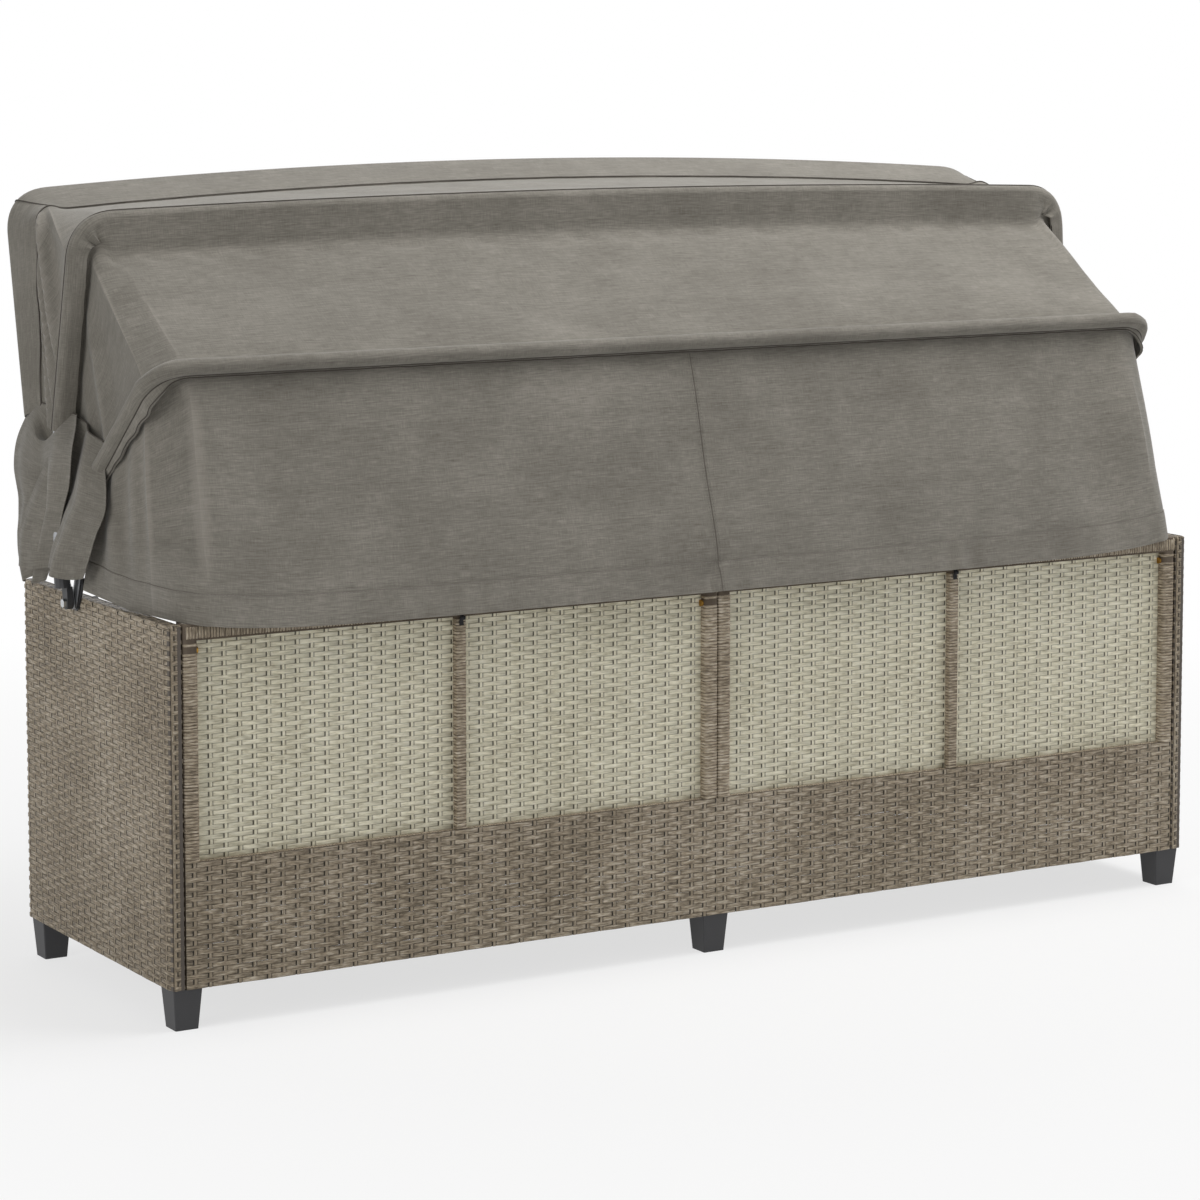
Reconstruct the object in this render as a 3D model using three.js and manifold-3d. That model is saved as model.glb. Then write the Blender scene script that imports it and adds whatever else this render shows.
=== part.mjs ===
// Outdoor daybed with a folding canopy: woven base in two back modules, two seat modules and two arms,
// black feet, loose cushions, and a hood of three tube bows and sewn cloth that folds back.
// Millimetres, +Z up. +X runs along the length, -Y is the side that people sit down from, and the floor is z = 0.
// The sitter's left is +X.
import * as THREE from "three";
import { mergeVertices } from "three/addons/utils/BufferGeometryUtils.js";
import Module from "manifold-3d";

const wasm = await Module();
wasm.setup();

// Overall sizes of the base
const LENGTH = 1950;
const DEPTH = 570;
const BASE_HEIGHT = 622;
const FOOT_HEIGHT = 64;
const FIT_GAP = 0.3;
const CUT_OVERRUN = 5;

// Woven skins over tube frames
const WEAVE = 2.4;
const WEAVE_CORNER = 7;
const SOFT_EDGE = 1;
const FRAME_TUBE = 19;

// Arms
const ARM_WIDTH = 25;

// Back modules
const STILE = 24;
const RAIL = 25;
const WRAP_CORNER = 6;
const MID_STILE_WIDTH = 16;
const MID_STILE_RECESS = 3;
const PANEL_THICKNESS = 3;
const SKIRT_TOP = 258;
const SKIRT_THICKNESS = 3;
const SKIRT_RAIL = 22;

// Seat modules
const DECK_THICKNESS = 4;
const DECK_TOP = 262;
const SEAT_CROSS_BARS = 3;

// Feet: square tapered plugs under the corners and the joint between the modules
const FOOT_TOP = 48;
const FOOT_BOTTOM = 38;
const FOOT_INSET = 5;

// Bolts that join the modules and the arms
const JOINT_BOLT = 6;
const JOINT_BOLT_HEAD = 11;
const JOINT_BOLT_HEAD_HEIGHT = 3.5;
const JOINT_BOLT_DROP = 16;
const JOINT_BOLT_LOW_DROP = 53;
const HOLE_PLAY = 0.6;

// Cushions
const SEAT_CUSHION_HEIGHT = 90;
const BACK_CUSHION_HEIGHT = 345;
const BACK_CUSHION_THICKNESS = 115;
const BACK_CUSHION_LEAN = 6;
const CUSHION_PLAY = 4;
const CUSHION_CROWN = 16;
const CUSHION_DRAW_IN = 9;
const CUSHION_EDGE_SHARE = 0.28;
const CUSHION_CORNER_SHARE = 0.16;
const CUSHION_SINK = 6.6;
const CUSHION_NEST = 1;

// Pivot of the bows on the outer face of each arm
const PIVOT_Y = -60;
const PIVOT_DROP = 9;
const PIVOT_Z = BASE_HEIGHT - PIVOT_DROP;
const PIVOT_BOLT = 8;
const PIVOT_HEAD = 15;
const PIVOT_HEAD_HEIGHT = 5;
const PIVOT_NUT = 15;
const PIVOT_NUT_HEIGHT = 9;
const NUT_BORE_SHARE = 0.7;
const BRACKET_THICKNESS = 2.5;
const BRACKET_RADIUS = 13;
const LUG_WIDTH_SHARE = 0.8;
const LUG_FORWARD = 20;
const LUG_RISE = 32;
const LUG_SCREW = 4;
const LUG_SCREW_HEAD = 8;
const LUG_SCREW_HEAD_HEIGHT = 2;
const SCREW_SEAT_GAP = 0.8;

// Side bar that carries the hem of the cloth, from the bracket rearwards
const SIDE_BAR_HEIGHT = 18;
const SIDE_BAR_THICKNESS = 3;
const SIDE_BAR_LENGTH = 190;
const SIDE_BAR_NOSE = 10;

// Bow tubes
const TUBE = 19;
const STRAP_THICKNESS = 3;
const STRAP_WIDTH = 22;
const STRAP_LENGTH = 140;
const STRAP_BLEND = 26;
const STRAP_NOSE = 11;
const NOSE_SHARE = 0.6;
const KNEE_RADIUS = 90;
const CORNER_RADIUS = 62;
const EYE_THICKNESS = 10;
const EYE_WIDTH = 20;
const SOCKET_START = 24;
const SOCKET_END = 52;
const SOCKET_WALL = 3;
const REAR_LEAN = 19;
const MID_LEAN = 17;
const FRONT_LEAN = 18;
const TUBE_SIDES = 12;
const ROD_SIDES = 16;
const SMALL_ROD_SIDES = 12;
const HEX_SIDES = 6;

const STRAP_STACK = STRAP_THICKNESS + FIT_GAP;
const REAR_STRAP_X = LENGTH / 2 + FIT_GAP + BRACKET_THICKNESS + FIT_GAP + STRAP_THICKNESS / 2;
const FRONT_STRAP_X = REAR_STRAP_X + STRAP_STACK;
const EYE_INNER_X = FRONT_STRAP_X + STRAP_THICKNESS / 2 + FIT_GAP;
const MID_TUBE_X = EYE_INNER_X + SOCKET_WALL + FIT_GAP + TUBE / 2;

// Each bow is bent at a knee in the leg: angles are measured from +Y towards +Z, lengths along the tube
const REAR_BOW = {
  footX: REAR_STRAP_X,
  halfWidth: LENGTH / 2 - REAR_LEAN,
  lowerAngle: 70,
  lowerLength: 220,
  upperAngle: 44.8,
  upperLength: 257,
  rise: 0,
  flatEnds: true,
};
const MID_BOW = {
  footX: MID_TUBE_X,
  halfWidth: LENGTH / 2 - MID_LEAN,
  lowerAngle: 97.5,
  lowerLength: 270,
  upperAngle: 87.4,
  upperLength: 331.7,
  rise: 16,
  flatEnds: false,
};
const FRONT_BOW = {
  footX: FRONT_STRAP_X,
  halfWidth: LENGTH / 2 - FRONT_LEAN,
  lowerAngle: 122.4,
  lowerLength: 330,
  upperAngle: 108.2,
  upperLength: 362.5,
  rise: 36,
  flatEnds: true,
};

// Cloth. A sleeve's sewn edge lies at a distance from its tube, from the knee to the corner and on the bar.
// The two shares say how far the edge points rearward: 0 is straight in, 1 is straight back.
const CLOTH = 1.6;
const SLEEVE_PLAY = 0.5;
const SEAM_GAP = 0.4;
const REAR_EDGE = { knee: 24, corner: 40, bar: 20, legRearShare: 0.96, barRearShare: 0.8 };
const MID_EDGE = { knee: 15, corner: 18, bar: 42, legRearShare: 0, barRearShare: 0 };
const FRONT_EDGE = { knee: 40, corner: 82, bar: 84, legRearShare: 0.995, barRearShare: 0.84 };
const HEM_FRONT_Y = -25;
const HEM_FRONT_RISE = 24;
const HEM_FRONT_Z = PIVOT_Z + HEM_FRONT_RISE;
const HEM_FRONT_STANDOFF = 3;
const HEM_FRONT_X = LENGTH / 2 + HEM_FRONT_STANDOFF;
const HEM_REAR_STANDOFF = 10.5;
const HEM_REAR_INSET = 8;
const HEM_REAR_X = LENGTH / 2 - ARM_WIDTH - HEM_REAR_INSET;
const HEM_DROP = 17;
const HEM_CORNER = 34;
const HEM_LIFT = 4;
const HEM_TURN_POWER = 8;
const HEM_BAND = 46;
const HEM_STEP = 2.4;
const DROP_LEVEL_SHARES = [0.35, 0.58, 0.8];
const BACK_LEVEL_SHARES = [0, 0.25, 0.5, 0.75, 1];
const TOP_LEVEL_SHARES = [0, 1 / 3, 2 / 3, 1];
const DROP_SWELL = 5;
const DROP_FOLD = 6;
const DROP_FOLD_PLACE_SHARE = 0.27;
const DROP_FOLD_WIDTH_SHARE = 0.06;
const TIE_WIDTH = 12;
const TIE_THICKNESS = 2;
const TIE_LENGTH = 46;

// Loose lower ends of the side cloth: the front and rear edge at each level from the top, as shares of how far
// the cloth can stand out from the arm's outer face, lie rearward of the pivot and rise above it
const TAIL_OUT = 36;
const TAIL_REARWARD = 200;
const TAIL_RISE = 290;
const FRONT_TAIL_FOLD = 13;
const FRONT_TAIL_FOLDS = 2.6;
const MID_TAIL_FOLD = 9;
const MID_TAIL_FOLDS = 1.7;
const FRONT_TAIL_SHARES = {
  front: [
    [0.317, -0.9, 0.986], [0.667, -0.86, 0.734], [0.806, -0.88, 0.607], [0.778, -0.725, 0.479],
    [0.667, -0.95, 0.283], [0.472, -0.975, 0.148], [0.25, -0.99, 0.052],
  ],
  rear: [
    [0.75, 0, 0.883], [0.917, 0.15, 0.779], [0.972, 0.08, 0.655], [0.972, -0.09, 0.5],
    [0.75, -0.3, 0.334], [0.472, -0.525, 0.186], [0.25, -0.52, 0.069],
  ],
};
const MID_TAIL_SHARES = {
  front: [
    [0.722, 0.15, 0.903], [0.806, 0.22, 0.797], [0.889, 0.135, 0.655], [0.944, 0.08, 0.486],
    [0.972, 0.045, 0.321], [0.972, 0.025, 0.179],
  ],
  rear: [
    [0.286, 0.41, 0.731], [0.472, 0.56, 0.621], [0.528, 0.575, 0.541], [0.583, 0.535, 0.428],
    [0.611, 0.485, 0.303], [0.639, 0.41, 0.183],
  ],
};
const TAIL_COLUMNS = 10;

const COLOURS = {
  wicker: 0x8c7d6c,
  cream: 0xc8c3af,
  deck: 0x8a7b69,
  cloth: 0x827c73,
  cushion: 0x9a948a,
  tube: 0x9a9c9e,
  black: 0x17181a,
  steel: 0x3a3b3d,
  brass: 0xa8803c,
  zinc: 0xb8babc,
};

function finish(colour, roughness, metalness = 0) {
  return new THREE.MeshStandardMaterial({ color: colour, roughness, metalness });
}

const WICKER = finish(COLOURS.wicker, 0.6);
const CREAM = finish(COLOURS.cream, 0.6);
const DECK = finish(COLOURS.deck, 0.65);
const CLOTH_FINISH = finish(COLOURS.cloth, 0.95);
const CUSHION_FINISH = finish(COLOURS.cushion, 0.95);
const TUBE_FINISH = finish(COLOURS.tube, 0.4, 0.7);
const BLACK = finish(COLOURS.black, 0.5);
const STEEL = finish(COLOURS.steel, 0.5, 0.6);
const BRASS = finish(COLOURS.brass, 0.4, 0.9);
const ZINC = finish(COLOURS.zinc, 0.35, 0.9);

// Solids

// Signed volume of a closed indexed mesh; negative where the faces point inwards.
function signedVolume(position, index) {
  let sum = 0;
  const a = new THREE.Vector3();
  const b = new THREE.Vector3();
  const c = new THREE.Vector3();
  for (let i = 0; i < index.length; i += 3) {
    a.fromArray(position, 3 * index[i]);
    b.fromArray(position, 3 * index[i + 1]);
    c.fromArray(position, 3 * index[i + 2]);
    sum += a.dot(b.cross(c));
  }
  return sum;
}

// Indexed geometry from points and triangles, turned so that its faces point out.
function meshOf(points, triangles) {
  const position = points.flatMap((p) => [p.x, p.y, p.z]);
  const outwards = signedVolume(position, triangles.flat()) > 0;
  const index = triangles.flatMap(([a, b, c]) => (outwards ? [a, b, c] : [a, c, b]));
  const geometry = new THREE.BufferGeometry();
  geometry.setAttribute("position", new THREE.Float32BufferAttribute(position, 3));
  geometry.setIndex(index);
  return geometry;
}

function solidOf(geometry) {
  const bare = new THREE.BufferGeometry();
  bare.setAttribute("position", geometry.getAttribute("position"));
  bare.setIndex(geometry.index);
  const merged = mergeVertices(bare);
  return new wasm.Manifold(
    new wasm.Mesh({
      numProp: 3,
      vertProperties: new Float32Array(merged.getAttribute("position").array),
      triVerts: new Uint32Array(merged.index.array),
    }),
  );
}

function geometryOf(solid) {
  const mesh = solid.getMesh();
  const geometry = new THREE.BufferGeometry();
  geometry.setAttribute("position", new THREE.Float32BufferAttribute(mesh.vertProperties, 3));
  geometry.setIndex(Array.from(mesh.triVerts));
  return geometry;
}

function join(...geometries) {
  return geometryOf(geometries.map(solidOf).reduce((a, b) => a.add(b)));
}

function cut(geometry, ...tools) {
  return geometryOf(tools.map(solidOf).reduce((a, b) => a.subtract(b), solidOf(geometry)));
}

// A box between two corners.
function box([x0, x1], [y0, y1], [z0, z1]) {
  const geometry = new THREE.BoxGeometry(x1 - x0, y1 - y0, z1 - z0);
  return geometry.translate((x0 + x1) / 2, (y0 + y1) / 2, (z0 + z1) / 2);
}

const ROUND_STEPS = 3;

// The outline of a rounded rectangle as points, counter-clockwise.
function roundedOutline([u0, u1], [v0, v1], radius) {
  const points = [];
  const centres = [
    [u1 - radius, v1 - radius, 0],
    [u0 + radius, v1 - radius, 1],
    [u0 + radius, v0 + radius, 2],
    [u1 - radius, v0 + radius, 3],
  ];
  for (const [cu, cv, quarter] of centres) {
    for (let i = 0; i <= ROUND_STEPS; i++) {
      const angle = (Math.PI / 2) * (quarter + i / ROUND_STEPS);
      points.push([cu + radius * Math.cos(angle), cv + radius * Math.sin(angle)]);
    }
  }
  return points;
}

// A block with rounded upright edges and a softened top and bottom.
function softBlock([x0, x1], [y0, y1], [z0, z1], radius, edge = SOFT_EDGE) {
  const rings = [
    [z0, edge],
    [z0 + edge, 0],
    [z1 - edge, 0],
    [z1, edge],
  ].map(([z, inset]) =>
    roundedOutline([x0 + inset, x1 - inset], [y0 + inset, y1 - inset], radius - inset / 2).map(
      ([x, y]) => new THREE.Vector3(x, y, z),
    ),
  );
  return loft(rings);
}

// A closed solid through rings of equal count, with flat ends.
function loft(rings) {
  const count = rings[0].length;
  const points = rings.flat();
  const triangles = [];
  for (let r = 0; r < rings.length - 1; r++) {
    for (let i = 0; i < count; i++) {
      const a = r * count + i;
      const b = r * count + ((i + 1) % count);
      triangles.push([a, b, b + count], [a, b + count, a + count]);
    }
  }
  for (const [first, last] of [
    [0, false],
    [(rings.length - 1) * count, true],
  ]) {
    const centre = new THREE.Vector3();
    for (let i = 0; i < count; i++) centre.add(points[first + i]);
    points.push(centre.divideScalar(count));
    for (let i = 0; i < count; i++) {
      const a = first + i;
      const b = first + ((i + 1) % count);
      triangles.push(last ? [a, b, points.length - 1] : [b, a, points.length - 1]);
    }
  }
  return meshOf(points, triangles);
}

// An open tube with a wall, between outer and inner rings.
function hollowLoft(outer, inner) {
  const count = outer[0].length;
  const points = [...outer.flat(), ...inner.flat()];
  const start = outer.length * count;
  const triangles = [];
  const side = (offset, flip) => {
    for (let r = 0; r < outer.length - 1; r++) {
      for (let i = 0; i < count; i++) {
        const a = offset + r * count + i;
        const b = offset + r * count + ((i + 1) % count);
        triangles.push(flip ? [a, b + count, b] : [a, b, b + count]);
        triangles.push(flip ? [a, a + count, b + count] : [a, b + count, a + count]);
      }
    }
  };
  side(0, false);
  side(start, true);
  for (const [ring, flip] of [
    [0, true],
    [outer.length - 1, false],
  ]) {
    for (let i = 0; i < count; i++) {
      const a = ring * count + i;
      const b = ring * count + ((i + 1) % count);
      triangles.push(flip ? [b, a, start + a] : [a, b, start + b]);
      triangles.push(flip ? [b, start + a, start + b] : [a, start + b, start + a]);
    }
  }
  return meshOf(points, triangles);
}

// A cylinder along X between two places.
function rodX(x0, x1, y, z, diameter, sides = ROD_SIDES) {
  const geometry = new THREE.CylinderGeometry(diameter / 2, diameter / 2, Math.abs(x1 - x0), sides);
  return geometry.rotateZ(Math.PI / 2).translate((x0 + x1) / 2, y, z);
}

// A flat plate in the Y-Z plane from a THREE.Shape drawn in (y, z).
function plateX(shape, x0, x1) {
  const geometry = new THREE.ExtrudeGeometry(shape, { depth: x1 - x0, bevelEnabled: false, curveSegments: 8 });
  // Shape (u, v, depth) becomes (depth, u, v).
  const turn = new THREE.Matrix4().makeBasis(
    new THREE.Vector3(0, 1, 0),
    new THREE.Vector3(0, 0, 1),
    new THREE.Vector3(1, 0, 0),
  );
  return geometry.applyMatrix4(turn).translate(x0, 0, 0);
}

const daybed = new THREE.Group();
const SIDES = [
  ["left", 1],
  ["right", -1],
];

function add(name, geometry, material, parent = daybed) {
  const mesh = new THREE.Mesh(geometry, material);
  mesh.name = name;
  parent.add(mesh);
  return mesh;
}

// The mirror image across the plane x = 0, where side is -1, with its faces still pointing out.
function sided(geometry, side) {
  if (side > 0) return geometry;
  const position = Array.from(geometry.getAttribute("position").array);
  const points = [];
  for (let i = 0; i < position.length; i += 3) {
    points.push(new THREE.Vector3(-position[i], position[i + 1], position[i + 2]));
  }
  const index = geometry.index ? Array.from(geometry.index.array) : points.map((_, i) => i);
  const triangles = [];
  for (let i = 0; i < index.length; i += 3) triangles.push([index[i], index[i + 2], index[i + 1]]);
  return meshOf(points, triangles);
}

// Derived places of the base
const halfLength = LENGTH / 2;
const halfDepth = DEPTH / 2;
const armInner = halfLength - ARM_WIDTH;
const moduleOuter = armInner - FIT_GAP;
const moduleInner = FIT_GAP / 2;
const backFront = halfDepth - STILE;
const boltHighZ = BASE_HEIGHT - RAIL - JOINT_BOLT_DROP;
const boltLowZ = SKIRT_TOP - JOINT_BOLT_LOW_DROP;
const boltY = backFront + STILE / 2;

// Arms: a woven skin pulled like a bag over a welded tube frame
function armWeave() {
  const skin = softBlock([armInner, halfLength], [-halfDepth, halfDepth], [FOOT_HEIGHT, BASE_HEIGHT], WEAVE_CORNER);
  const hollow = box(
    [armInner + WEAVE, halfLength - WEAVE],
    [-halfDepth + WEAVE, halfDepth - WEAVE],
    [FOOT_HEIGHT - CUT_OVERRUN, BASE_HEIGHT - WEAVE],
  );
  const pivotHole = rodX(armInner - CUT_OVERRUN, halfLength + CUT_OVERRUN, PIVOT_Y, PIVOT_Z, PIVOT_BOLT + HOLE_PLAY);
  const joints = [boltHighZ, boltLowZ].map((z) =>
    rodX(armInner - CUT_OVERRUN, armInner + ARM_WIDTH / 2, boltY, z, JOINT_BOLT + HOLE_PLAY),
  );
  return cut(skin, hollow, pivotHole, ...joints);
}

function armFrame() {
  const x = [armInner + WEAVE + FIT_GAP, halfLength - WEAVE - FIT_GAP];
  const y = [-halfDepth + WEAVE + FIT_GAP, halfDepth - WEAVE - FIT_GAP];
  const z = [FOOT_HEIGHT + FIT_GAP, BASE_HEIGHT - WEAVE - FIT_GAP];
  const middle = [-FRAME_TUBE / 2, FRAME_TUBE / 2];
  const frame = join(
    box(x, [y[0], y[0] + FRAME_TUBE], z),
    box(x, [y[1] - FRAME_TUBE, y[1]], z),
    box(x, middle, z),
    box(x, y, [z[1] - FRAME_TUBE, z[1]]),
    box(x, y, [z[0], z[0] + FRAME_TUBE]),
  );
  const pivotHole = rodX(x[0] - CUT_OVERRUN, x[1] + CUT_OVERRUN, PIVOT_Y, PIVOT_Z, PIVOT_BOLT + HOLE_PLAY);
  const joints = [boltHighZ, boltLowZ].map((zHole) =>
    rodX(x[0] - CUT_OVERRUN, x[0] + FRAME_TUBE / 2, boltY, zHole, JOINT_BOLT + HOLE_PLAY),
  );
  return cut(frame, pivotHole, ...joints);
}

for (const [name, side] of SIDES) {
  add("arm_frame_" + name, sided(armFrame(), side), STEEL);
  add("arm_weave_" + name, sided(armWeave(), side), WICKER);
}

// Back modules: a ladder of wrapped tubes, a woven panel flush with its front and a woven skirt flush with its rear
const skirtFront = halfDepth - SKIRT_THICKNESS;
const panelRear = backFront + PANEL_THICKNESS;
const midStileX = (moduleInner + moduleOuter) / 2;

function backFrame() {
  const z = [FOOT_HEIGHT + FIT_GAP, BASE_HEIGHT];
  const low = [backFront, skirtFront - FIT_GAP];
  const stile = (x0) =>
    join(
      softBlock([x0, x0 + STILE], [backFront, halfDepth], [SKIRT_TOP + FIT_GAP, z[1]], WRAP_CORNER),
      softBlock([x0, x0 + STILE], low, [z[0], SKIRT_TOP + WRAP_CORNER], WRAP_CORNER),
    );
  const across = [moduleInner + STILE / 2, moduleOuter - STILE / 2];
  const frame = join(
    stile(moduleInner),
    stile(moduleOuter - STILE),
    box(
      [midStileX - MID_STILE_WIDTH / 2, midStileX + MID_STILE_WIDTH / 2],
      [panelRear + FIT_GAP, halfDepth - MID_STILE_RECESS],
      [SKIRT_TOP, z[1] - RAIL / 2],
    ),
    box(across, [backFront, halfDepth], [z[1] - RAIL, z[1]]),
    box(across, low, [SKIRT_TOP - SKIRT_RAIL, SKIRT_TOP]),
    box(across, low, [z[0], z[0] + SKIRT_RAIL]),
  );
  const holes = [boltHighZ, boltLowZ].flatMap((zHole) => [
    rodX(-CUT_OVERRUN, STILE + CUT_OVERRUN, boltY, zHole, JOINT_BOLT + HOLE_PLAY),
    rodX(moduleOuter - STILE - CUT_OVERRUN, moduleOuter + CUT_OVERRUN, boltY, zHole, JOINT_BOLT + HOLE_PLAY),
  ]);
  return cut(frame, ...holes);
}

function backPanel() {
  const z = [SKIRT_TOP + FIT_GAP, BASE_HEIGHT - RAIL - FIT_GAP];
  const x = [moduleInner + STILE + FIT_GAP, moduleOuter - STILE - FIT_GAP];
  return box(x, [backFront, panelRear], z);
}

function skirt() {
  return softBlock(
    [moduleInner, moduleOuter],
    [skirtFront, halfDepth],
    [FOOT_HEIGHT, SKIRT_TOP],
    SKIRT_THICKNESS / 2 - SOFT_EDGE / 4,
    SOFT_EDGE / 2,
  );
}

for (const [name, side] of SIDES) {
  add("back_frame_" + name, sided(backFrame(), side), WICKER);
  add("back_panel_" + name, sided(backPanel(), side), CREAM);
  add("back_skirt_" + name, sided(skirt(), side), WICKER);
}

// Seat modules: a tube frame that stands behind a woven front apron and carries a woven deck
const deckBottom = DECK_TOP - DECK_THICKNESS;
const seatRear = backFront - FIT_GAP;
const apronRear = -halfDepth + SKIRT_THICKNESS;
const seatFrameTop = deckBottom - FIT_GAP;

function seatFrame() {
  const x = [moduleInner, moduleOuter];
  const y = [apronRear + FIT_GAP, seatRear];
  const z = [seatFrameTop - FRAME_TUBE, seatFrameTop];
  const span = x[1] - x[0] - FRAME_TUBE;
  const bars = [];
  for (let i = 0; i <= SEAT_CROSS_BARS + 1; i++) {
    const x0 = x[0] + (span * i) / (SEAT_CROSS_BARS + 1);
    bars.push(box([x0, x0 + FRAME_TUBE], y, z));
  }
  const low = [FOOT_HEIGHT + FIT_GAP, FOOT_HEIGHT + FIT_GAP + FRAME_TUBE];
  const front = [y[0], y[0] + FRAME_TUBE];
  const upright = [low[0], z[1]];
  return join(
    ...bars,
    box(x, front, z),
    box(x, [y[1] - FRAME_TUBE, y[1]], z),
    box(x, front, low),
    box([x[0], x[0] + FRAME_TUBE], front, upright),
    box([x[1] - FRAME_TUBE, x[1]], front, upright),
  );
}

for (const [name, side] of SIDES) {
  add("seat_frame_" + name, sided(seatFrame(), side), STEEL);
  const deck = softBlock(
    [moduleInner, moduleOuter],
    [-halfDepth, seatRear],
    [deckBottom, DECK_TOP],
    WRAP_CORNER,
  );
  add("seat_deck_" + name, sided(deck, side), DECK);
  const apron = softBlock(
    [moduleInner, moduleOuter],
    [-halfDepth, apronRear],
    [FOOT_HEIGHT, deckBottom - FIT_GAP],
    SKIRT_THICKNESS / 2 - SOFT_EDGE / 4,
    SOFT_EDGE / 2,
  );
  add("front_apron_" + name, sided(apron, side), WICKER);
}

// Feet
const footX = halfLength - FOOT_INSET - FOOT_TOP / 2;
const footY = halfDepth - FOOT_INSET - FOOT_TOP / 2;

function foot(x, y) {
  const half = [FOOT_BOTTOM / 2, FOOT_TOP / 2];
  const levels = [
    [0, half[0]],
    [FOOT_HEIGHT - FIT_GAP, half[1]],
  ];
  const rings = levels.map(([z, h]) =>
    roundedOutline([x - h, x + h], [y - h, y + h], SOFT_EDGE * 2).map(([u, v]) => new THREE.Vector3(u, v, z)),
  );
  return loft(rings);
}

for (const [row, y] of [
  ["rear", footY],
  ["front", -footY],
]) {
  for (const [place, x] of [
    ["left", footX],
    ["middle", 0],
    ["right", -footX],
  ]) {
    add("foot_" + row + "_" + place, foot(x, y), BLACK);
  }
}

// Joint bolts: each runs from inside one stile into its neighbour; the heads sit in the open side of the stiles
function jointBolt(x, direction, z, reach) {
  const head = rodX(x, x + direction * JOINT_BOLT_HEAD_HEIGHT, boltY, z, JOINT_BOLT_HEAD, SMALL_ROD_SIDES);
  const shank = rodX(x + (direction * JOINT_BOLT_HEAD_HEIGHT) / 2, x - direction * reach, boltY, z, JOINT_BOLT, SMALL_ROD_SIDES);
  return join(head, shank);
}

const middleReach = STILE + FIT_GAP + STILE - HOLE_PLAY;
const armReach = STILE + FIT_GAP + ARM_WIDTH / 2 - HOLE_PLAY;
for (const [level, z] of [
  ["upper", boltHighZ],
  ["lower", boltLowZ],
]) {
  const middleHead = moduleInner + STILE + FIT_GAP;
  const outerHead = moduleOuter - STILE - FIT_GAP;
  add("joint_bolt_" + level + "_middle", jointBolt(middleHead, 1, z, middleReach), BRASS);
  for (const [name, side] of SIDES) {
    add("joint_bolt_" + level + "_" + name, jointBolt(side * outerHead, -side, z, armReach), BRASS);
  }
}

// Cushions: crowned on the open face, with the sides drawn in between the corners
function cushion(length, depth, height) {
  const rings = 8;
  const around = 32;
  const points = [];
  const power = (value, share) => Math.sign(value) * Math.abs(value) ** share;
  for (let r = 1; r < rings; r++) {
    const latitude = Math.PI * (r / rings - 1 / 2);
    for (let i = 0; i < around; i++) {
      const angle = (2 * Math.PI * i) / around;
      const reach = power(Math.cos(latitude), CUSHION_EDGE_SHARE);
      const u = reach * power(Math.cos(angle), CUSHION_CORNER_SHARE);
      const v = reach * power(Math.sin(angle), CUSHION_CORNER_SHARE);
      const w = power(Math.sin(latitude), CUSHION_EDGE_SHARE);
      const crown = w > 0 ? w * CUSHION_CROWN * (1 - u * u) * (1 - v * v) : 0;
      const drawU = CUSHION_DRAW_IN * u * Math.abs(u) * (1 - v * v);
      const drawV = CUSHION_DRAW_IN * v * Math.abs(v) * (1 - u * u);
      points.push(
        new THREE.Vector3(
          (u * length) / 2 - drawU,
          (v * depth) / 2 - drawV,
          (w * (height - CUSHION_CROWN)) / 2 + crown - CUSHION_CROWN / 2,
        ),
      );
    }
  }
  const triangles = [];
  for (let r = 0; r < rings - 2; r++) {
    for (let i = 0; i < around; i++) {
      const a = r * around + i;
      const b = r * around + ((i + 1) % around);
      triangles.push([a, b, b + around], [a, b + around, a + around]);
    }
  }
  points.push(new THREE.Vector3(0, 0, -height / 2), new THREE.Vector3(0, 0, height / 2));
  const last = (rings - 2) * around;
  for (let i = 0; i < around; i++) {
    const next = (i + 1) % around;
    triangles.push([next, i, points.length - 2], [last + i, last + next, points.length - 1]);
  }
  return meshOf(points, triangles);
}

const moduleLength = moduleOuter - moduleInner;
const cushionLength = moduleLength - CUSHION_PLAY;
const seatTop = DECK_TOP + FIT_GAP + SEAT_CUSHION_HEIGHT;
for (const [name, side] of SIDES) {
  const seatDepth = seatRear + halfDepth - CUSHION_PLAY;
  const seat = add("seat_cushion_" + name, cushion(cushionLength, seatDepth, SEAT_CUSHION_HEIGHT), CUSHION_FINISH);
  seat.position.set(
    (side * (moduleInner + moduleOuter)) / 2,
    (seatRear - halfDepth) / 2,
    DECK_TOP + FIT_GAP + SEAT_CUSHION_HEIGHT / 2,
  );
  const back = add(
    "back_cushion_" + name,
    cushion(cushionLength, BACK_CUSHION_HEIGHT, BACK_CUSHION_THICKNESS),
    CUSHION_FINISH,
  );
  // It stands on the rim of the seat cushion and leans on the top front edge of the back rail.
  const lean = THREE.MathUtils.degToRad(BACK_CUSHION_LEAN);
  const halfHeight = BACK_CUSHION_HEIGHT / 2;
  const halfThick = BACK_CUSHION_THICKNESS / 2;
  const seatRim = seatTop - CUSHION_CROWN - CUSHION_SINK;
  const centreZ = seatRim + FIT_GAP + halfHeight * Math.cos(lean) + halfThick * Math.sin(lean);
  const fromRail = (halfThick - CUSHION_NEST + (BASE_HEIGHT - centreZ) * Math.sin(lean)) / Math.cos(lean);
  back.rotation.x = Math.PI / 2 - lean;
  back.position.set(
    (side * (moduleInner + moduleOuter)) / 2,
    seatRear - fromRail,
    centreZ,
  );
}

// Bows

const LEG_STEPS = 3;
const KNEE_STEPS = 4;
const CORNER_STEPS = 6;
const BAR_STEPS = 5;

function upDirection(degrees) {
  const angle = THREE.MathUtils.degToRad(degrees);
  return new THREE.Vector3(0, Math.cos(angle), Math.sin(angle));
}

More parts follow.
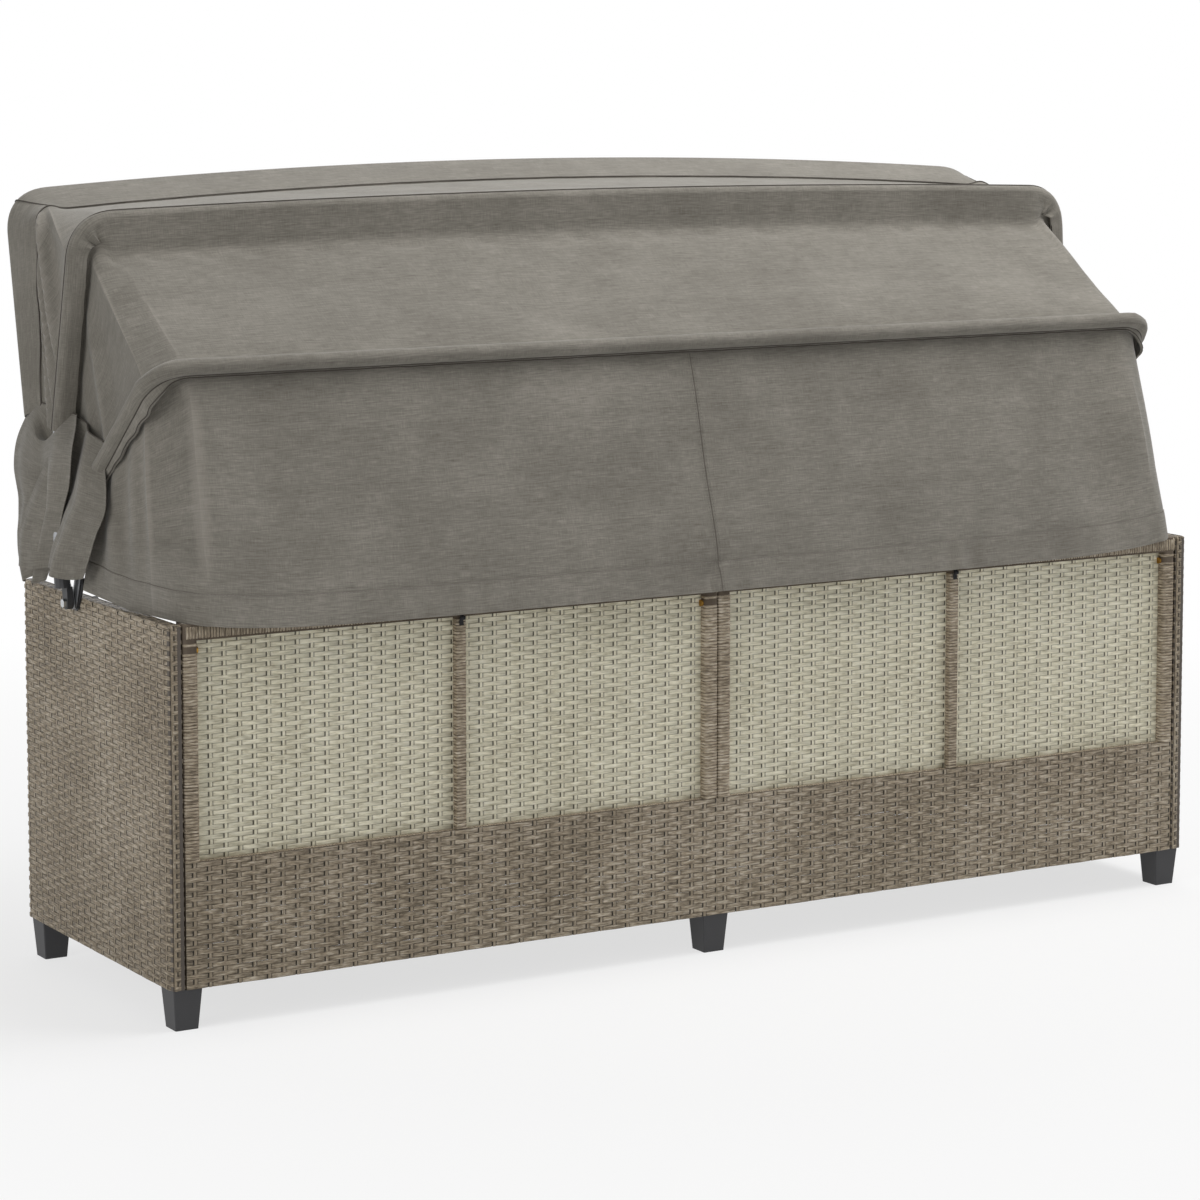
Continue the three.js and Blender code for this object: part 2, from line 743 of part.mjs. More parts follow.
// Half of a bow's centreline, from a distance along the leg, past the corner, to the middle of the bar.
// Each station has its place, the outward direction in the bow's plane, the rearward direction square to it,
// the length along the leg, and a turn from 0 on the leg to 1 on the bar. Below the strap's end the leg is upright
// beside the arm, and above it the leg leans in to the corner.
function halfBow(bow, stops) {
  const lower = upDirection(bow.lowerAngle);
  const upper = upDirection(bow.upperAngle);
  const legLength = bow.lowerLength + bow.upperLength;
  const onLeg = (s) => {
    const low = Math.min(s, bow.lowerLength);
    const p = lower.clone().multiplyScalar(low).addScaledVector(upper, Math.max(s - bow.lowerLength, 0));
    const leanShare = Math.max(s - STRAP_LENGTH, 0) / (legLength - STRAP_LENGTH);
    return p.add(new THREE.Vector3(THREE.MathUtils.lerp(bow.footX, bow.halfWidth, leanShare), PIVOT_Y, PIVOT_Z));
  };
  const onBar = (x) => {
    const p = onLeg(legLength);
    p.x = x;
    return p.addScaledVector(upper, bow.rise * (1 - (x / bow.halfWidth) ** 2));
  };
  const curve = (a, b, c, steps) => {
    const arc = new THREE.QuadraticBezierCurve3(a, b, c);
    return Array.from({ length: steps + 1 }, (_, i) => arc.getPoint(i / steps));
  };
  const bend = THREE.MathUtils.degToRad(bow.lowerAngle - bow.upperAngle);
  const kneeReach = KNEE_RADIUS * Math.tan(Math.abs(bend) / 2);
  const stations = [];
  const put = (p, direction, turn, s) => stations.push({ p, direction, turn, s });
  const kneeStart = bow.lowerLength - kneeReach;
  const kneeEnd = bow.lowerLength + kneeReach;
  for (const s of stops) put(onLeg(s), lower, 0, s);
  curve(onLeg(kneeStart), onLeg(bow.lowerLength), onLeg(kneeEnd), KNEE_STEPS).forEach((p, i) => {
    const mix = i / KNEE_STEPS;
    put(p, lower.clone().lerp(upper, mix).normalize(), 0, kneeStart + mix * (kneeEnd - kneeStart));
  });
  const cornerStart = legLength - CORNER_RADIUS;
  for (let i = 1; i < LEG_STEPS; i++) {
    const s = kneeEnd + ((cornerStart - kneeEnd) * i) / LEG_STEPS;
    put(onLeg(s), upper, 0, s);
  }
  const cornerX = bow.halfWidth - CORNER_RADIUS;
  curve(onLeg(cornerStart), onBar(bow.halfWidth), onBar(cornerX), CORNER_STEPS).forEach((p, i) =>
    put(p, upper, i / CORNER_STEPS, legLength),
  );
  for (let i = 1; i <= BAR_STEPS; i++) {
    put(onBar(cornerX * (1 - i / BAR_STEPS)), upper, 1, legLength);
  }
  stations.forEach((station, i) => {
    const before = stations[Math.max(i - 1, 0)].p;
    const after = stations[Math.min(i + 1, stations.length - 1)].p;
    const along = after.clone().sub(before);
    if (i === stations.length - 1) along.set(-1, 0, 0);
    along.normalize();
    station.rearward = new THREE.Vector3(0, station.direction.z, -station.direction.y);
    station.outward = new THREE.Vector3().crossVectors(station.rearward, along).normalize();
    if (station.outward.dot(station.p) < 0) station.outward.negate();
  });
  return stations;
}

// The whole bow from its half: the other side is the mirror image in reverse order.
function wholeBow(half) {
  const mirrored = half.slice(0, -1).map((station) => ({
    ...station,
    p: station.p.clone().setX(-station.p.x),
    outward: station.outward.clone().setX(-station.outward.x),
  }));
  return [...half, ...mirrored.reverse()];
}

// A ring of points round a station, with half sizes outward and rearward.
function ringAt(station, outwardHalf, rearwardHalf, sides = TUBE_SIDES) {
  return Array.from({ length: sides }, (_, i) => {
    const angle = (2 * Math.PI * (i + 1 / 2)) / sides;
    return station.p
      .clone()
      .addScaledVector(station.outward, outwardHalf * Math.cos(angle))
      .addScaledVector(station.rearward, rearwardHalf * Math.sin(angle));
  });
}

const roundStart = STRAP_LENGTH + STRAP_BLEND;
const STRAP_STOPS = [-STRAP_NOSE, -STRAP_NOSE * NOSE_SHARE, 0, STRAP_LENGTH, (STRAP_LENGTH + roundStart) / 2, roundStart];
const SOCKET_STOPS = [SOCKET_START + SOCKET_WALL + FIT_GAP, STRAP_LENGTH];

function bowStations(bow) {
  return wholeBow(halfBow(bow, bow.flatEnds ? STRAP_STOPS : SOCKET_STOPS));
}

function bowTube(bow, stations) {
  const radius = TUBE / 2;
  const rings = stations.map((station) => {
    if (!bow.flatEnds || station.s >= roundStart) return ringAt(station, radius, radius);
    const blend = THREE.MathUtils.clamp((station.s - STRAP_LENGTH) / STRAP_BLEND, 0, 1);
    const nose = Math.sqrt(1 - Math.min(station.s / STRAP_NOSE, 0) ** 2);
    const width = Math.max((STRAP_WIDTH / 2) * nose, STRAP_THICKNESS);
    return ringAt(
      station,
      THREE.MathUtils.lerp(STRAP_THICKNESS / 2, radius, blend),
      THREE.MathUtils.lerp(width, radius, blend),
    );
  });
  const tube = loft(rings);
  if (!bow.flatEnds) return tube;
  const holes = [1, -1].map((side) =>
    rodX(side * (bow.footX - TUBE), side * (bow.footX + TUBE), PIVOT_Y, PIVOT_Z, PIVOT_BOLT + HOLE_PLAY),
  );
  return cut(tube, ...holes);
}

const rearBow = bowStations(REAR_BOW);
const midBow = bowStations(MID_BOW);
const frontBow = bowStations(FRONT_BOW);
add("rear_bow_tube", bowTube(REAR_BOW, rearBow), TUBE_FINISH);
add("mid_bow_tube", bowTube(MID_BOW, midBow), TUBE_FINISH);
add("front_bow_tube", bowTube(FRONT_BOW, frontBow), TUBE_FINISH);

// The middle bow's round tube ends in a socket with a drilled eye
function bowEye() {
  const lower = upDirection(MID_BOW.lowerAngle);
  const at = (s) => ({
    p: lower.clone().multiplyScalar(s).add(new THREE.Vector3(MID_TUBE_X, PIVOT_Y, PIVOT_Z)),
    outward: new THREE.Vector3(1, 0, 0),
    rearward: new THREE.Vector3(0, lower.z, -lower.y),
  });
  const boreHalf = TUBE / 2 + FIT_GAP;
  const barrel = (from, to, half) => loft([from, to].map((s) => ringAt(at(s), half, half)));
  const shape = new THREE.Shape();
  shape.absarc(0, 0, EYE_WIDTH / 2, Math.PI, 2 * Math.PI);
  shape.lineTo(EYE_WIDTH / 2, SOCKET_START + SOCKET_WALL / 2);
  shape.lineTo(-EYE_WIDTH / 2, SOCKET_START + SOCKET_WALL / 2);
  const eye = plateX(shape, EYE_INNER_X, EYE_INNER_X + EYE_THICKNESS);
  eye.rotateX(THREE.MathUtils.degToRad(MID_BOW.lowerAngle) - Math.PI / 2).translate(0, PIVOT_Y, PIVOT_Z);
  const hole = rodX(EYE_INNER_X - TUBE, EYE_INNER_X + 2 * TUBE, PIVOT_Y, PIVOT_Z, PIVOT_BOLT + HOLE_PLAY);
  return cut(
    join(barrel(SOCKET_START, SOCKET_END, boreHalf + SOCKET_WALL), eye),
    barrel(SOCKET_START + SOCKET_WALL, SOCKET_END + CUT_OVERRUN, boreHalf),
    hole,
  );
}

// Pivot bracket with a lug for the side bar, the bolt through the whole stack, and its cap nut inside the arm
const bracketInner = halfLength + FIT_GAP;
const bracketOuter = bracketInner + BRACKET_THICKNESS;
const lugY = PIVOT_Y + LUG_FORWARD;
const lugZ = PIVOT_Z + LUG_RISE;

function bracket() {
  const across = Math.atan2(LUG_RISE, LUG_FORWARD);
  const shape = new THREE.Shape();
  shape.absarc(PIVOT_Y, PIVOT_Z, BRACKET_RADIUS, across + Math.PI / 2, across + (3 * Math.PI) / 2);
  shape.absarc(lugY, lugZ, BRACKET_RADIUS * LUG_WIDTH_SHARE, across - Math.PI / 2, across + Math.PI / 2);
  const plate = plateX(shape, bracketInner, bracketOuter);
  return cut(
    plate,
    rodX(bracketInner - CUT_OVERRUN, bracketOuter + CUT_OVERRUN, PIVOT_Y, PIVOT_Z, PIVOT_BOLT + HOLE_PLAY),
    rodX(bracketInner - CUT_OVERRUN, bracketOuter + CUT_OVERRUN, lugY, lugZ, LUG_SCREW + HOLE_PLAY, SMALL_ROD_SIDES),
  );
}

const barSlope = (HEM_FRONT_X - HEM_REAR_X) / (halfDepth - HEM_FRONT_Y);

function sideBar() {
  const bar = cut(
    box(
      [-SIDE_BAR_THICKNESS, 0],
      [-SIDE_BAR_NOSE, SIDE_BAR_LENGTH],
      [-SIDE_BAR_HEIGHT / 2, SIDE_BAR_HEIGHT / 2],
    ),
    rodX(-SIDE_BAR_THICKNESS - CUT_OVERRUN, CUT_OVERRUN, 0, 0, LUG_SCREW + 2 * HOLE_PLAY, SMALL_ROD_SIDES),
  );
  const inset = SIDE_BAR_NOSE * barSlope + FIT_GAP;
  return bar.rotateZ(Math.atan(barSlope)).translate(bracketInner - inset, lugY, lugZ);
}

for (const [name, side] of SIDES) {
  add("mid_bow_eye_" + name, sided(bowEye(), side), BLACK);
  add("pivot_bracket_" + name, sided(bracket(), side), BLACK);
  add("side_bar_" + name, sided(sideBar(), side), STEEL);
  const headInner = EYE_INNER_X + EYE_THICKNESS + FIT_GAP;
  const nutOuter = armInner - FIT_GAP;
  const shankEnd = nutOuter - PIVOT_NUT_HEIGHT * NUT_BORE_SHARE;
  const bolt = join(
    rodX(headInner, headInner + PIVOT_HEAD_HEIGHT, PIVOT_Y, PIVOT_Z, PIVOT_HEAD, HEX_SIDES),
    rodX(shankEnd, headInner + PIVOT_HEAD_HEIGHT / 2, PIVOT_Y, PIVOT_Z, PIVOT_BOLT),
  );
  add("pivot_bolt_" + name, sided(bolt, side), ZINC);
  const nut = cut(
    rodX(nutOuter - PIVOT_NUT_HEIGHT, nutOuter, PIVOT_Y, PIVOT_Z, PIVOT_NUT, HEX_SIDES),
    rodX(shankEnd - FIT_GAP, nutOuter + CUT_OVERRUN, PIVOT_Y, PIVOT_Z, PIVOT_BOLT + HOLE_PLAY),
  );
  add("pivot_nut_" + name, sided(nut, side), ZINC);
  const barInner = bracketInner - FIT_GAP - SIDE_BAR_NOSE * barSlope - SIDE_BAR_THICKNESS - SCREW_SEAT_GAP;
  const screw = join(
    rodX(barInner - LUG_SCREW_HEAD_HEIGHT, barInner, lugY, lugZ, LUG_SCREW_HEAD, SMALL_ROD_SIDES),
    rodX(barInner - LUG_SCREW_HEAD_HEIGHT / 2, bracketOuter - FIT_GAP / 2, lugY, lugZ, LUG_SCREW, SMALL_ROD_SIDES),
  );
  add("lug_screw_" + name, sided(screw, side), ZINC);
}

// Cloth

// A sleeve round a bow: round over the tube and drawn out to a sewn edge, with a wall and open ends.
const SLEEVE_SIDES = 8;
const innerHalf = (TUBE / 2 + SLEEVE_PLAY) / Math.cos(Math.PI / SLEEVE_SIDES);
const mixed = (station, onLeg, onBar) => THREE.MathUtils.lerp(onLeg, onBar, station.turn);

// The distance and the angle of the sewn edge at a station: the angle turns from outward to rearward.
function edgeAt(station, bow, edge) {
  const cornerStart = bow.lowerLength + bow.upperLength - CORNER_RADIUS;
  const climb = THREE.MathUtils.clamp((station.s - bow.lowerLength) / (cornerStart - bow.lowerLength), 0, 1);
  const rearShare = mixed(station, edge.legRearShare, edge.barRearShare);
  return {
    distance: mixed(station, THREE.MathUtils.lerp(edge.knee, edge.corner, climb), edge.bar),
    angle: Math.atan2(rearShare, -Math.sqrt(1 - rearShare * rearShare)),
  };
}

function sleeve(stations, bow, edge) {
  const rings = (half, shorten) =>
    stations.map((station) => {
      const { distance, angle } = edgeAt(station, bow, edge);
      const tangent = Math.acos(half / (distance - shorten));
      return Array.from({ length: SLEEVE_SIDES }, (_, i) => {
        const turn = (2 * Math.PI * i) / SLEEVE_SIDES;
        const away = Math.min(turn, 2 * Math.PI - turn);
        const reach = away < tangent ? half / Math.cos(tangent - away) : half;
        return station.p
          .clone()
          .addScaledVector(station.outward, reach * Math.cos(angle + turn))
          .addScaledVector(station.rearward, reach * Math.sin(angle + turn));
      });
    });
  return hollowLoft(rings(innerHalf + CLOTH, 0), rings(innerHalf, 2 * CLOTH));
}

// A line that follows a bow at an offset which depends on the station.
function besideBow(stations, offset) {
  return stations.map((station) => {
    const { outward, rearward } = offset(station);
    return station.p
      .clone()
      .addScaledVector(station.outward, outward)
      .addScaledVector(station.rearward, rearward);
  });
}

// The line just past a sleeve's sewn edge.
function sewnEdge(stations, bow, edge) {
  return besideBow(stations, (station) => {
    const { distance, angle } = edgeAt(station, bow, edge);
    const reach = distance + SEAM_GAP;
    return { outward: reach * Math.cos(angle), rearward: reach * Math.sin(angle) };
  });
}

// A grid ruled between two lines of equal count, with a row at each stop from 0 to 1.
function ruled(lineA, lineB, stops) {
  return stops.map((stop) => lineA.map((a, i) => a.clone().lerp(lineB[i], stop)));
}

// A sheet on a grid of points. swell moves each point out along its normal, and layers gives the cloth's layers there.
function sheet(grid, stops, swell, layers = () => 1) {
  const rows = grid.length - 1;
  const columns = grid[0].length;
  const normalAt = (r, i) => {
    const across = grid[Math.min(r + 1, rows)][i].clone().sub(grid[Math.max(r - 1, 0)][i]);
    const along = grid[r][Math.min(i + 1, columns - 1)].clone().sub(grid[r][Math.max(i - 1, 0)]);
    return along.cross(across).normalize();
  };
  const normals = grid.map((row, r) => row.map((_, i) => normalAt(r, i)));
  const outer = grid.map((row, r) =>
    row.map((p, i) => p.clone().addScaledVector(normals[r][i], swell(i / (columns - 1), stops[r]))),
  );
  const inner = outer.map((row, r) =>
    row.map((p, i) => p.clone().addScaledVector(normals[r][i], -CLOTH * layers(stops[r]))),
  );
  const points = [...outer.flat(), ...inner.flat()];
  const below = (rows + 1) * columns;
  const triangles = [];
  for (let r = 0; r < rows; r++) {
    for (let i = 0; i < columns - 1; i++) {
      const a = r * columns + i;
      const c = a + columns;
      triangles.push([a, a + 1, c + 1], [a, c + 1, c]);
      triangles.push([below + a, below + c + 1, below + a + 1], [below + a, below + c, below + c + 1]);
    }
  }
  const wall = (a, b) => triangles.push([b, a, below + a], [b, below + a, below + b]);
  for (let i = 0; i < columns - 1; i++) {
    wall(i, i + 1);
    wall(rows * columns + i + 1, rows * columns + i);
  }
  for (let r = 0; r < rows; r++) {
    wall((r + 1) * columns, r * columns);
    wall(r * columns + columns - 1, (r + 1) * columns + columns - 1);
  }
  return meshOf(points, triangles);
}

// The sleeves start in the middle of each knee, so all three have as many stations.
const sleeved = (bow, stations) => stations.filter((station) => station.s > bow.lowerLength - FIT_GAP);
const rearStations = sleeved(REAR_BOW, rearBow);
const midStations = sleeved(MID_BOW, midBow);
const frontStations = sleeved(FRONT_BOW, frontBow);

add("rear_sleeve", sleeve(rearStations, REAR_BOW, REAR_EDGE), CLOTH_FINISH);
add("mid_sleeve", sleeve(midStations, MID_BOW, MID_EDGE), CLOTH_FINISH);
add("front_pocket", sleeve(frontStations, FRONT_BOW, FRONT_EDGE), CLOTH_FINISH);

const swellNone = () => 0;
const skinInset = innerHalf + CLOTH + SEAM_GAP;

// The back cloth runs under the rear bow's sleeve and up to the sewn edge of the middle bow's sleeve.
const backLow = besideBow(rearStations, () => ({ outward: -skinInset, rearward: -2 * SEAM_GAP }));
const backHigh = besideBow(midStations, (station) => ({
  outward: -edgeAt(station, MID_BOW, MID_EDGE).distance - SEAM_GAP,
  rearward: 2 * SEAM_GAP,
}));
add("back_cloth", sheet(ruled(backLow, backHigh, BACK_LEVEL_SHARES), BACK_LEVEL_SHARES, swellNone), CLOTH_FINISH);

// The top cloth runs from the top of the middle sleeve to the rear edge of the front pocket.
const topLow = besideBow(midStations, (station) => ({
  outward: mixed(station, -skinInset, TUBE / 2),
  rearward: -TUBE,
}));
const topHigh = sewnEdge(frontStations, FRONT_BOW, FRONT_EDGE);
add("top_cloth", sheet(ruled(topLow, topHigh, TOP_LEVEL_SHARES), TOP_LEVEL_SHARES, swellNone), CLOTH_FINISH);

// The drop cloth hangs from the rear sleeve to the hem along the arms and over the back rail.
const hemRearY = halfDepth + HEM_REAR_STANDOFF;

function hemLine() {
  const last = rearStations.length - 1;
  const legCount = rearStations.findIndex((station) => station.turn > 0) - 1;
  return rearStations.map((station, i) => {
    const fromEnd = Math.min(i, last - i);
    const side = i <= last / 2 ? 1 : -1;
    const turn = rearStations[fromEnd].turn;
    if (turn === 0) {
      const share = fromEnd / legCount;
      const y = THREE.MathUtils.lerp(HEM_FRONT_Y, hemRearY - HEM_CORNER, share);
      const z = THREE.MathUtils.lerp(HEM_FRONT_Z, BASE_HEIGHT + HEM_LIFT, Math.min(2 * share, 1));
      return new THREE.Vector3(side * (HEM_FRONT_X - barSlope * (y - HEM_FRONT_Y)), y, z);
    }
    if (turn < 1) {
      const angle = (Math.PI / 2) * turn;
      return new THREE.Vector3(
        side * (HEM_REAR_X - HEM_CORNER * (1 - Math.cos(angle))),
        hemRearY - HEM_CORNER * (1 - Math.sin(angle)),
        BASE_HEIGHT + HEM_LIFT - (HEM_LIFT + HEM_DROP) * Math.sin(angle) ** HEM_TURN_POWER,
      );
    }
    const x = (station.p.x / (REAR_BOW.halfWidth - CORNER_RADIUS)) * (HEM_REAR_X - HEM_CORNER);
    return new THREE.Vector3(x, hemRearY, BASE_HEIGHT - HEM_DROP);
  });
}

const dropHigh = besideBow(rearStations, () => ({ outward: -skinInset, rearward: 2 * SEAM_GAP }));
const dropHeight = REAR_BOW.upperLength * Math.sin(THREE.MathUtils.degToRad(REAR_BOW.upperAngle)) + REAR_BOW.lowerLength;
const bandShare = HEM_BAND / dropHeight;
const dropShares = [0, bandShare, bandShare + HEM_STEP / dropHeight, ...DROP_LEVEL_SHARES, 1];
const dropSwell = (u, v) => {
  const hang = Math.sin(Math.PI * v);
  const fromFold = (Math.min(u, 1 - u) - DROP_FOLD_PLACE_SHARE) / DROP_FOLD_WIDTH_SHARE;
  return hang * (DROP_SWELL + DROP_FOLD * Math.exp(-fromFold * fromFold));
};
const dropLayers = (v) => (v <= bandShare ? 2 : 1);
add("drop_cloth", sheet(ruled(hemLine(), dropHigh, dropShares), dropShares, dropSwell, dropLayers), CLOTH_FINISH);

// The tails: the loose lower ends of the side cloth, in upright folds outside the legs.
function tail(shares, depth, folds) {
  const levels = shares.front.length - 1;
  const stops = shares.front.map((_, i) => i / levels);
  const corner = new THREE.Vector3(halfLength, PIVOT_Y, PIVOT_Z);
  const spread = new THREE.Vector3(TAIL_OUT, TAIL_REARWARD, TAIL_RISE);
  const at = (place) => new THREE.Vector3(...place).multiply(spread).add(corner);
  const grid = stops.map((_, level) =>
    Array.from({ length: TAIL_COLUMNS }, (_, i) =>
      at(shares.front[level]).lerp(at(shares.rear[level]), i / (TAIL_COLUMNS - 1)),
    ),
  );
  const fold = (u, v) => depth * Math.sqrt(v) * Math.sin(folds * Math.PI * u) ** 2;
  return sheet(grid, stops, (u, v) => -fold(u, v));
}

for (const [name, side] of SIDES) {
  add("front_tail_" + name, sided(tail(FRONT_TAIL_SHARES, FRONT_TAIL_FOLD, FRONT_TAIL_FOLDS), side), CLOTH_FINISH);
  add("mid_tail_" + name, sided(tail(MID_TAIL_SHARES, MID_TAIL_FOLD, MID_TAIL_FOLDS), side), CLOTH_FINISH);
  const tie = box(
    [side * midStileX - TIE_WIDTH / 2, side * midStileX + TIE_WIDTH / 2],
    [halfDepth + FIT_GAP, halfDepth + FIT_GAP + TIE_THICKNESS],
    [BASE_HEIGHT - TIE_LENGTH, BASE_HEIGHT - HEM_DROP + 2 * SEAM_GAP],
  );
  add("hem_tie_" + name, tie, BLACK);
}

// The origin is under the middle of the whole: the canopy reaches further forwards than rearwards.
daybed.updateMatrixWorld(true);
const bounds = new THREE.Box3().setFromObject(daybed);
const part = new THREE.Group();
daybed.position.y = -(bounds.min.y + bounds.max.y) / 2;
part.add(daybed);

export default part;
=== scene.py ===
# An outdoor daybed with a folding canopy, seen from behind: a woven base in two arms, two back modules and
# two seat modules, loose cushions, and a hood of cloth on three tube bows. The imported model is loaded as
# the fixed frame.
import math

import bmesh
import bpy
import numpy as np
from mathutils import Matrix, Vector, noise


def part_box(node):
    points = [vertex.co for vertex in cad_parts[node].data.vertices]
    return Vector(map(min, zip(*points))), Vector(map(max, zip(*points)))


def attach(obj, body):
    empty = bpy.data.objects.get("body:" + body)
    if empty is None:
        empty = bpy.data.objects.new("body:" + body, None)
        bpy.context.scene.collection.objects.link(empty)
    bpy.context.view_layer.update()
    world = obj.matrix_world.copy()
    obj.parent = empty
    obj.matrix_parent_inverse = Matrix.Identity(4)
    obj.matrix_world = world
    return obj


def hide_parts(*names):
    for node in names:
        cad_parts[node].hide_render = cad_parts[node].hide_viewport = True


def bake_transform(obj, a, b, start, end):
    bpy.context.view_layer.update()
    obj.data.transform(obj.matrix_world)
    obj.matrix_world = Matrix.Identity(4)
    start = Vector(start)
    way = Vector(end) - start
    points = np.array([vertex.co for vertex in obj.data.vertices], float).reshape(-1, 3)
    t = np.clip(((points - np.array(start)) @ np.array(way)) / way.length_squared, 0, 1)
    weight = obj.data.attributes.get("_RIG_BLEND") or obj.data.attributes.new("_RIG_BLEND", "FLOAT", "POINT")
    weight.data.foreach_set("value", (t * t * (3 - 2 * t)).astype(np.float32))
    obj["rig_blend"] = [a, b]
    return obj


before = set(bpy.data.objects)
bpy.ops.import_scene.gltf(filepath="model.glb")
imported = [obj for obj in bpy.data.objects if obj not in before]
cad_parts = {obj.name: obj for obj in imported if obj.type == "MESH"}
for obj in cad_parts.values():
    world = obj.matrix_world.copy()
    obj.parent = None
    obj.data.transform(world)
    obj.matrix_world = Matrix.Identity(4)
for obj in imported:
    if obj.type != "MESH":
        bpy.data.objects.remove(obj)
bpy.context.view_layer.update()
MM = 0.001
SIDES = (("left", 1), ("right", -1))


# The studio is a pale floor and a plain bright room. The camera looks at the back from the daybed's left
# end, from a little above it, and its small shift keeps the uprights upright as the photograph does.
CAMERA_PLACE = (3.2299, 5.3752, 1.5111)
CAMERA_AZIMUTH = 149.247
CAMERA_ELEVATION = 6.016
CAMERA_FOCAL_PIXELS = 3725.4
CAMERA_SHIFT = -0.15
IMAGE_PIXELS = 1200
SENSOR_WIDTH = 36
FLOOR_SIZE = 60
FLOOR_SHADOW_SHARE = 0.3
FLOOR_SHADOW_NEAR = 1.1
FLOOR_SHADOW_FAR = 3.2
ROOM_LIGHT = 0.3
KEY_PLACE = (-1.8, 0.9, 4.8)
KEY_SIZE = 3.0
KEY_POWER = 185
SIDE_PLACE = (5.4, 1.6, 2.4)
SIDE_SIZE = 2.6
SIDE_POWER = 72
FRONT_PLACE = (-1.5, -4.8, 3.8)
FRONT_SIZE = 3.4
FRONT_POWER = 60
LIGHT_AIM = (0, 0, 0.6)


class Shade:
    """A socket in a material's node tree. A sum on it adds the Math node that works it out."""

    def __init__(self, tree, socket):
        self.tree = tree
        self.socket = socket

    def sum(self, operation, *values, swap=False):
        terms = (*values, self) if swap else (self, *values)
        return add_node(self.tree, "Math", {"operation": operation}, dict(enumerate(terms)))

    def __add__(self, other):
        return self.sum("ADD", other)

    __radd__ = __add__

    def __sub__(self, other):
        return self.sum("SUBTRACT", other)

    def __rsub__(self, other):
        return self.sum("SUBTRACT", other, swap=True)

    def __mul__(self, other):
        return self.sum("MULTIPLY", other)

    __rmul__ = __mul__


def add_node(tree, kind, settings=None, sockets=None, output=0):
    """Adds one shader node: its settings first, then the values or links of its sockets."""
    made = tree.nodes.new("ShaderNode" + kind)
    for name, value in (settings or {}).items():
        if name == "stops":
            elements = made.color_ramp.elements
            while len(elements) < len(value):
                elements.new(1)
            for stop, (place, colour) in zip(elements, value):
                stop.position = place
                stop.color = (*colour, 1)
        else:
            setattr(made, name, value)
    for name, value in (sockets or {}).items():
        if isinstance(value, Shade):
            tree.links.new(value.socket, made.inputs[name])
        else:
            made.inputs[name].default_value = value
    return Shade(tree, made.outputs[output])


def new_finish(name):
    """An empty material, its tree and its output node."""
    material = bpy.data.materials.new(name)
    material.use_nodes = True
    tree = material.node_tree
    tree.nodes.clear()
    return material, tree, tree.nodes.new("ShaderNodeOutputMaterial")


def srgb(red, green, blue):
    """A colour as a screen shows it, from 0 to 255, as the linear values that a shader takes."""
    return tuple(((c / 255 + 0.055) / 1.055) ** 2.4 for c in (red, green, blue))


def seen_as_backdrop(tree):
    """1 for the rays that should find a white backdrop: the camera's, and those through metal or glass."""
    path = tree.nodes.new("ShaderNodeLightPath")
    rays = ("Is Camera Ray", "Is Glossy Ray", "Is Transmission Ray")
    seen = [Shade(tree, path.outputs[name]) for name in rays]
    return seen[0].sum("MAXIMUM", seen[1]).sum("MAXIMUM", seen[2])


def aim(place, target):
    """The turn that points a lamp or camera from a place at a target."""
    return (Vector(target) - Vector(place)).to_track_quat("-Z", "Y").to_euler()


def soft_lamp(place, size, power):
    bpy.ops.object.light_add(type="AREA", location=place, rotation=aim(place, LIGHT_AIM))
    lamp = bpy.context.object.data
    lamp.size = size
    lamp.energy = power


soft_lamp(KEY_PLACE, KEY_SIZE, KEY_POWER)
soft_lamp(SIDE_PLACE, SIDE_SIZE, SIDE_POWER)
soft_lamp(FRONT_PLACE, FRONT_SIZE, FRONT_POWER)

world = bpy.context.scene.world or bpy.data.worlds.new("room")
bpy.context.scene.world = world
world.use_nodes = True
world.node_tree.nodes.clear()
backdrop = seen_as_backdrop(world.node_tree)
seen_light = ROOM_LIGHT + backdrop * (1 - ROOM_LIGHT)
room = add_node(world.node_tree, "Background", None, {"Color": (1, 1, 1, 1), "Strength": seen_light})
world_output = world.node_tree.nodes.new("ShaderNodeOutputWorld")
world.node_tree.links.new(room.socket, world_output.inputs[0])

bpy.ops.mesh.primitive_plane_add(size=FLOOR_SIZE)
floor = bpy.context.object
floor.name = "floor"
floor_paint, tree, out = new_finish("pale_floor")
matt = add_node(tree, "BsdfDiffuse", None, {"Color": (0.8, 0.8, 0.8, 1)})
lit = add_node(tree, "Emission", None, {"Color": (1, 1, 1, 1)})
floor_place = add_node(tree, "TexCoord", output="Object")
from_middle = add_node(tree, "VectorMath", {"operation": "LENGTH"}, {0: floor_place}, "Value")
fades = {"Value": from_middle, "From Min": FLOOR_SHADOW_NEAR, "From Max": FLOOR_SHADOW_FAR}
shadow_share = FLOOR_SHADOW_SHARE * (1 - add_node(tree, "MapRange", None, fades))
shown = add_node(tree, "MixShader", None, {0: seen_as_backdrop(tree) * (1 - shadow_share), 1: matt, 2: lit})
tree.links.new(shown.socket, out.inputs[0])
floor.data.materials.append(floor_paint)

elevation = math.radians(CAMERA_ELEVATION)
azimuth = math.radians(CAMERA_AZIMUTH)
away = Vector((
    math.sin(azimuth) * math.cos(elevation),
    -math.cos(azimuth) * math.cos(elevation),
    math.sin(elevation),
))
bpy.ops.object.camera_add(location=CAMERA_PLACE, rotation=(-away).to_track_quat("-Z", "Y").to_euler())
camera = bpy.context.object
camera.data.sensor_width = SENSOR_WIDTH
camera.data.lens = CAMERA_FOCAL_PIXELS / IMAGE_PIXELS * SENSOR_WIDTH
camera.data.shift_y = CAMERA_SHIFT
camera.data.clip_end = 100
bpy.context.scene.camera = camera
bpy.context.scene.view_settings.view_transform = "Standard"


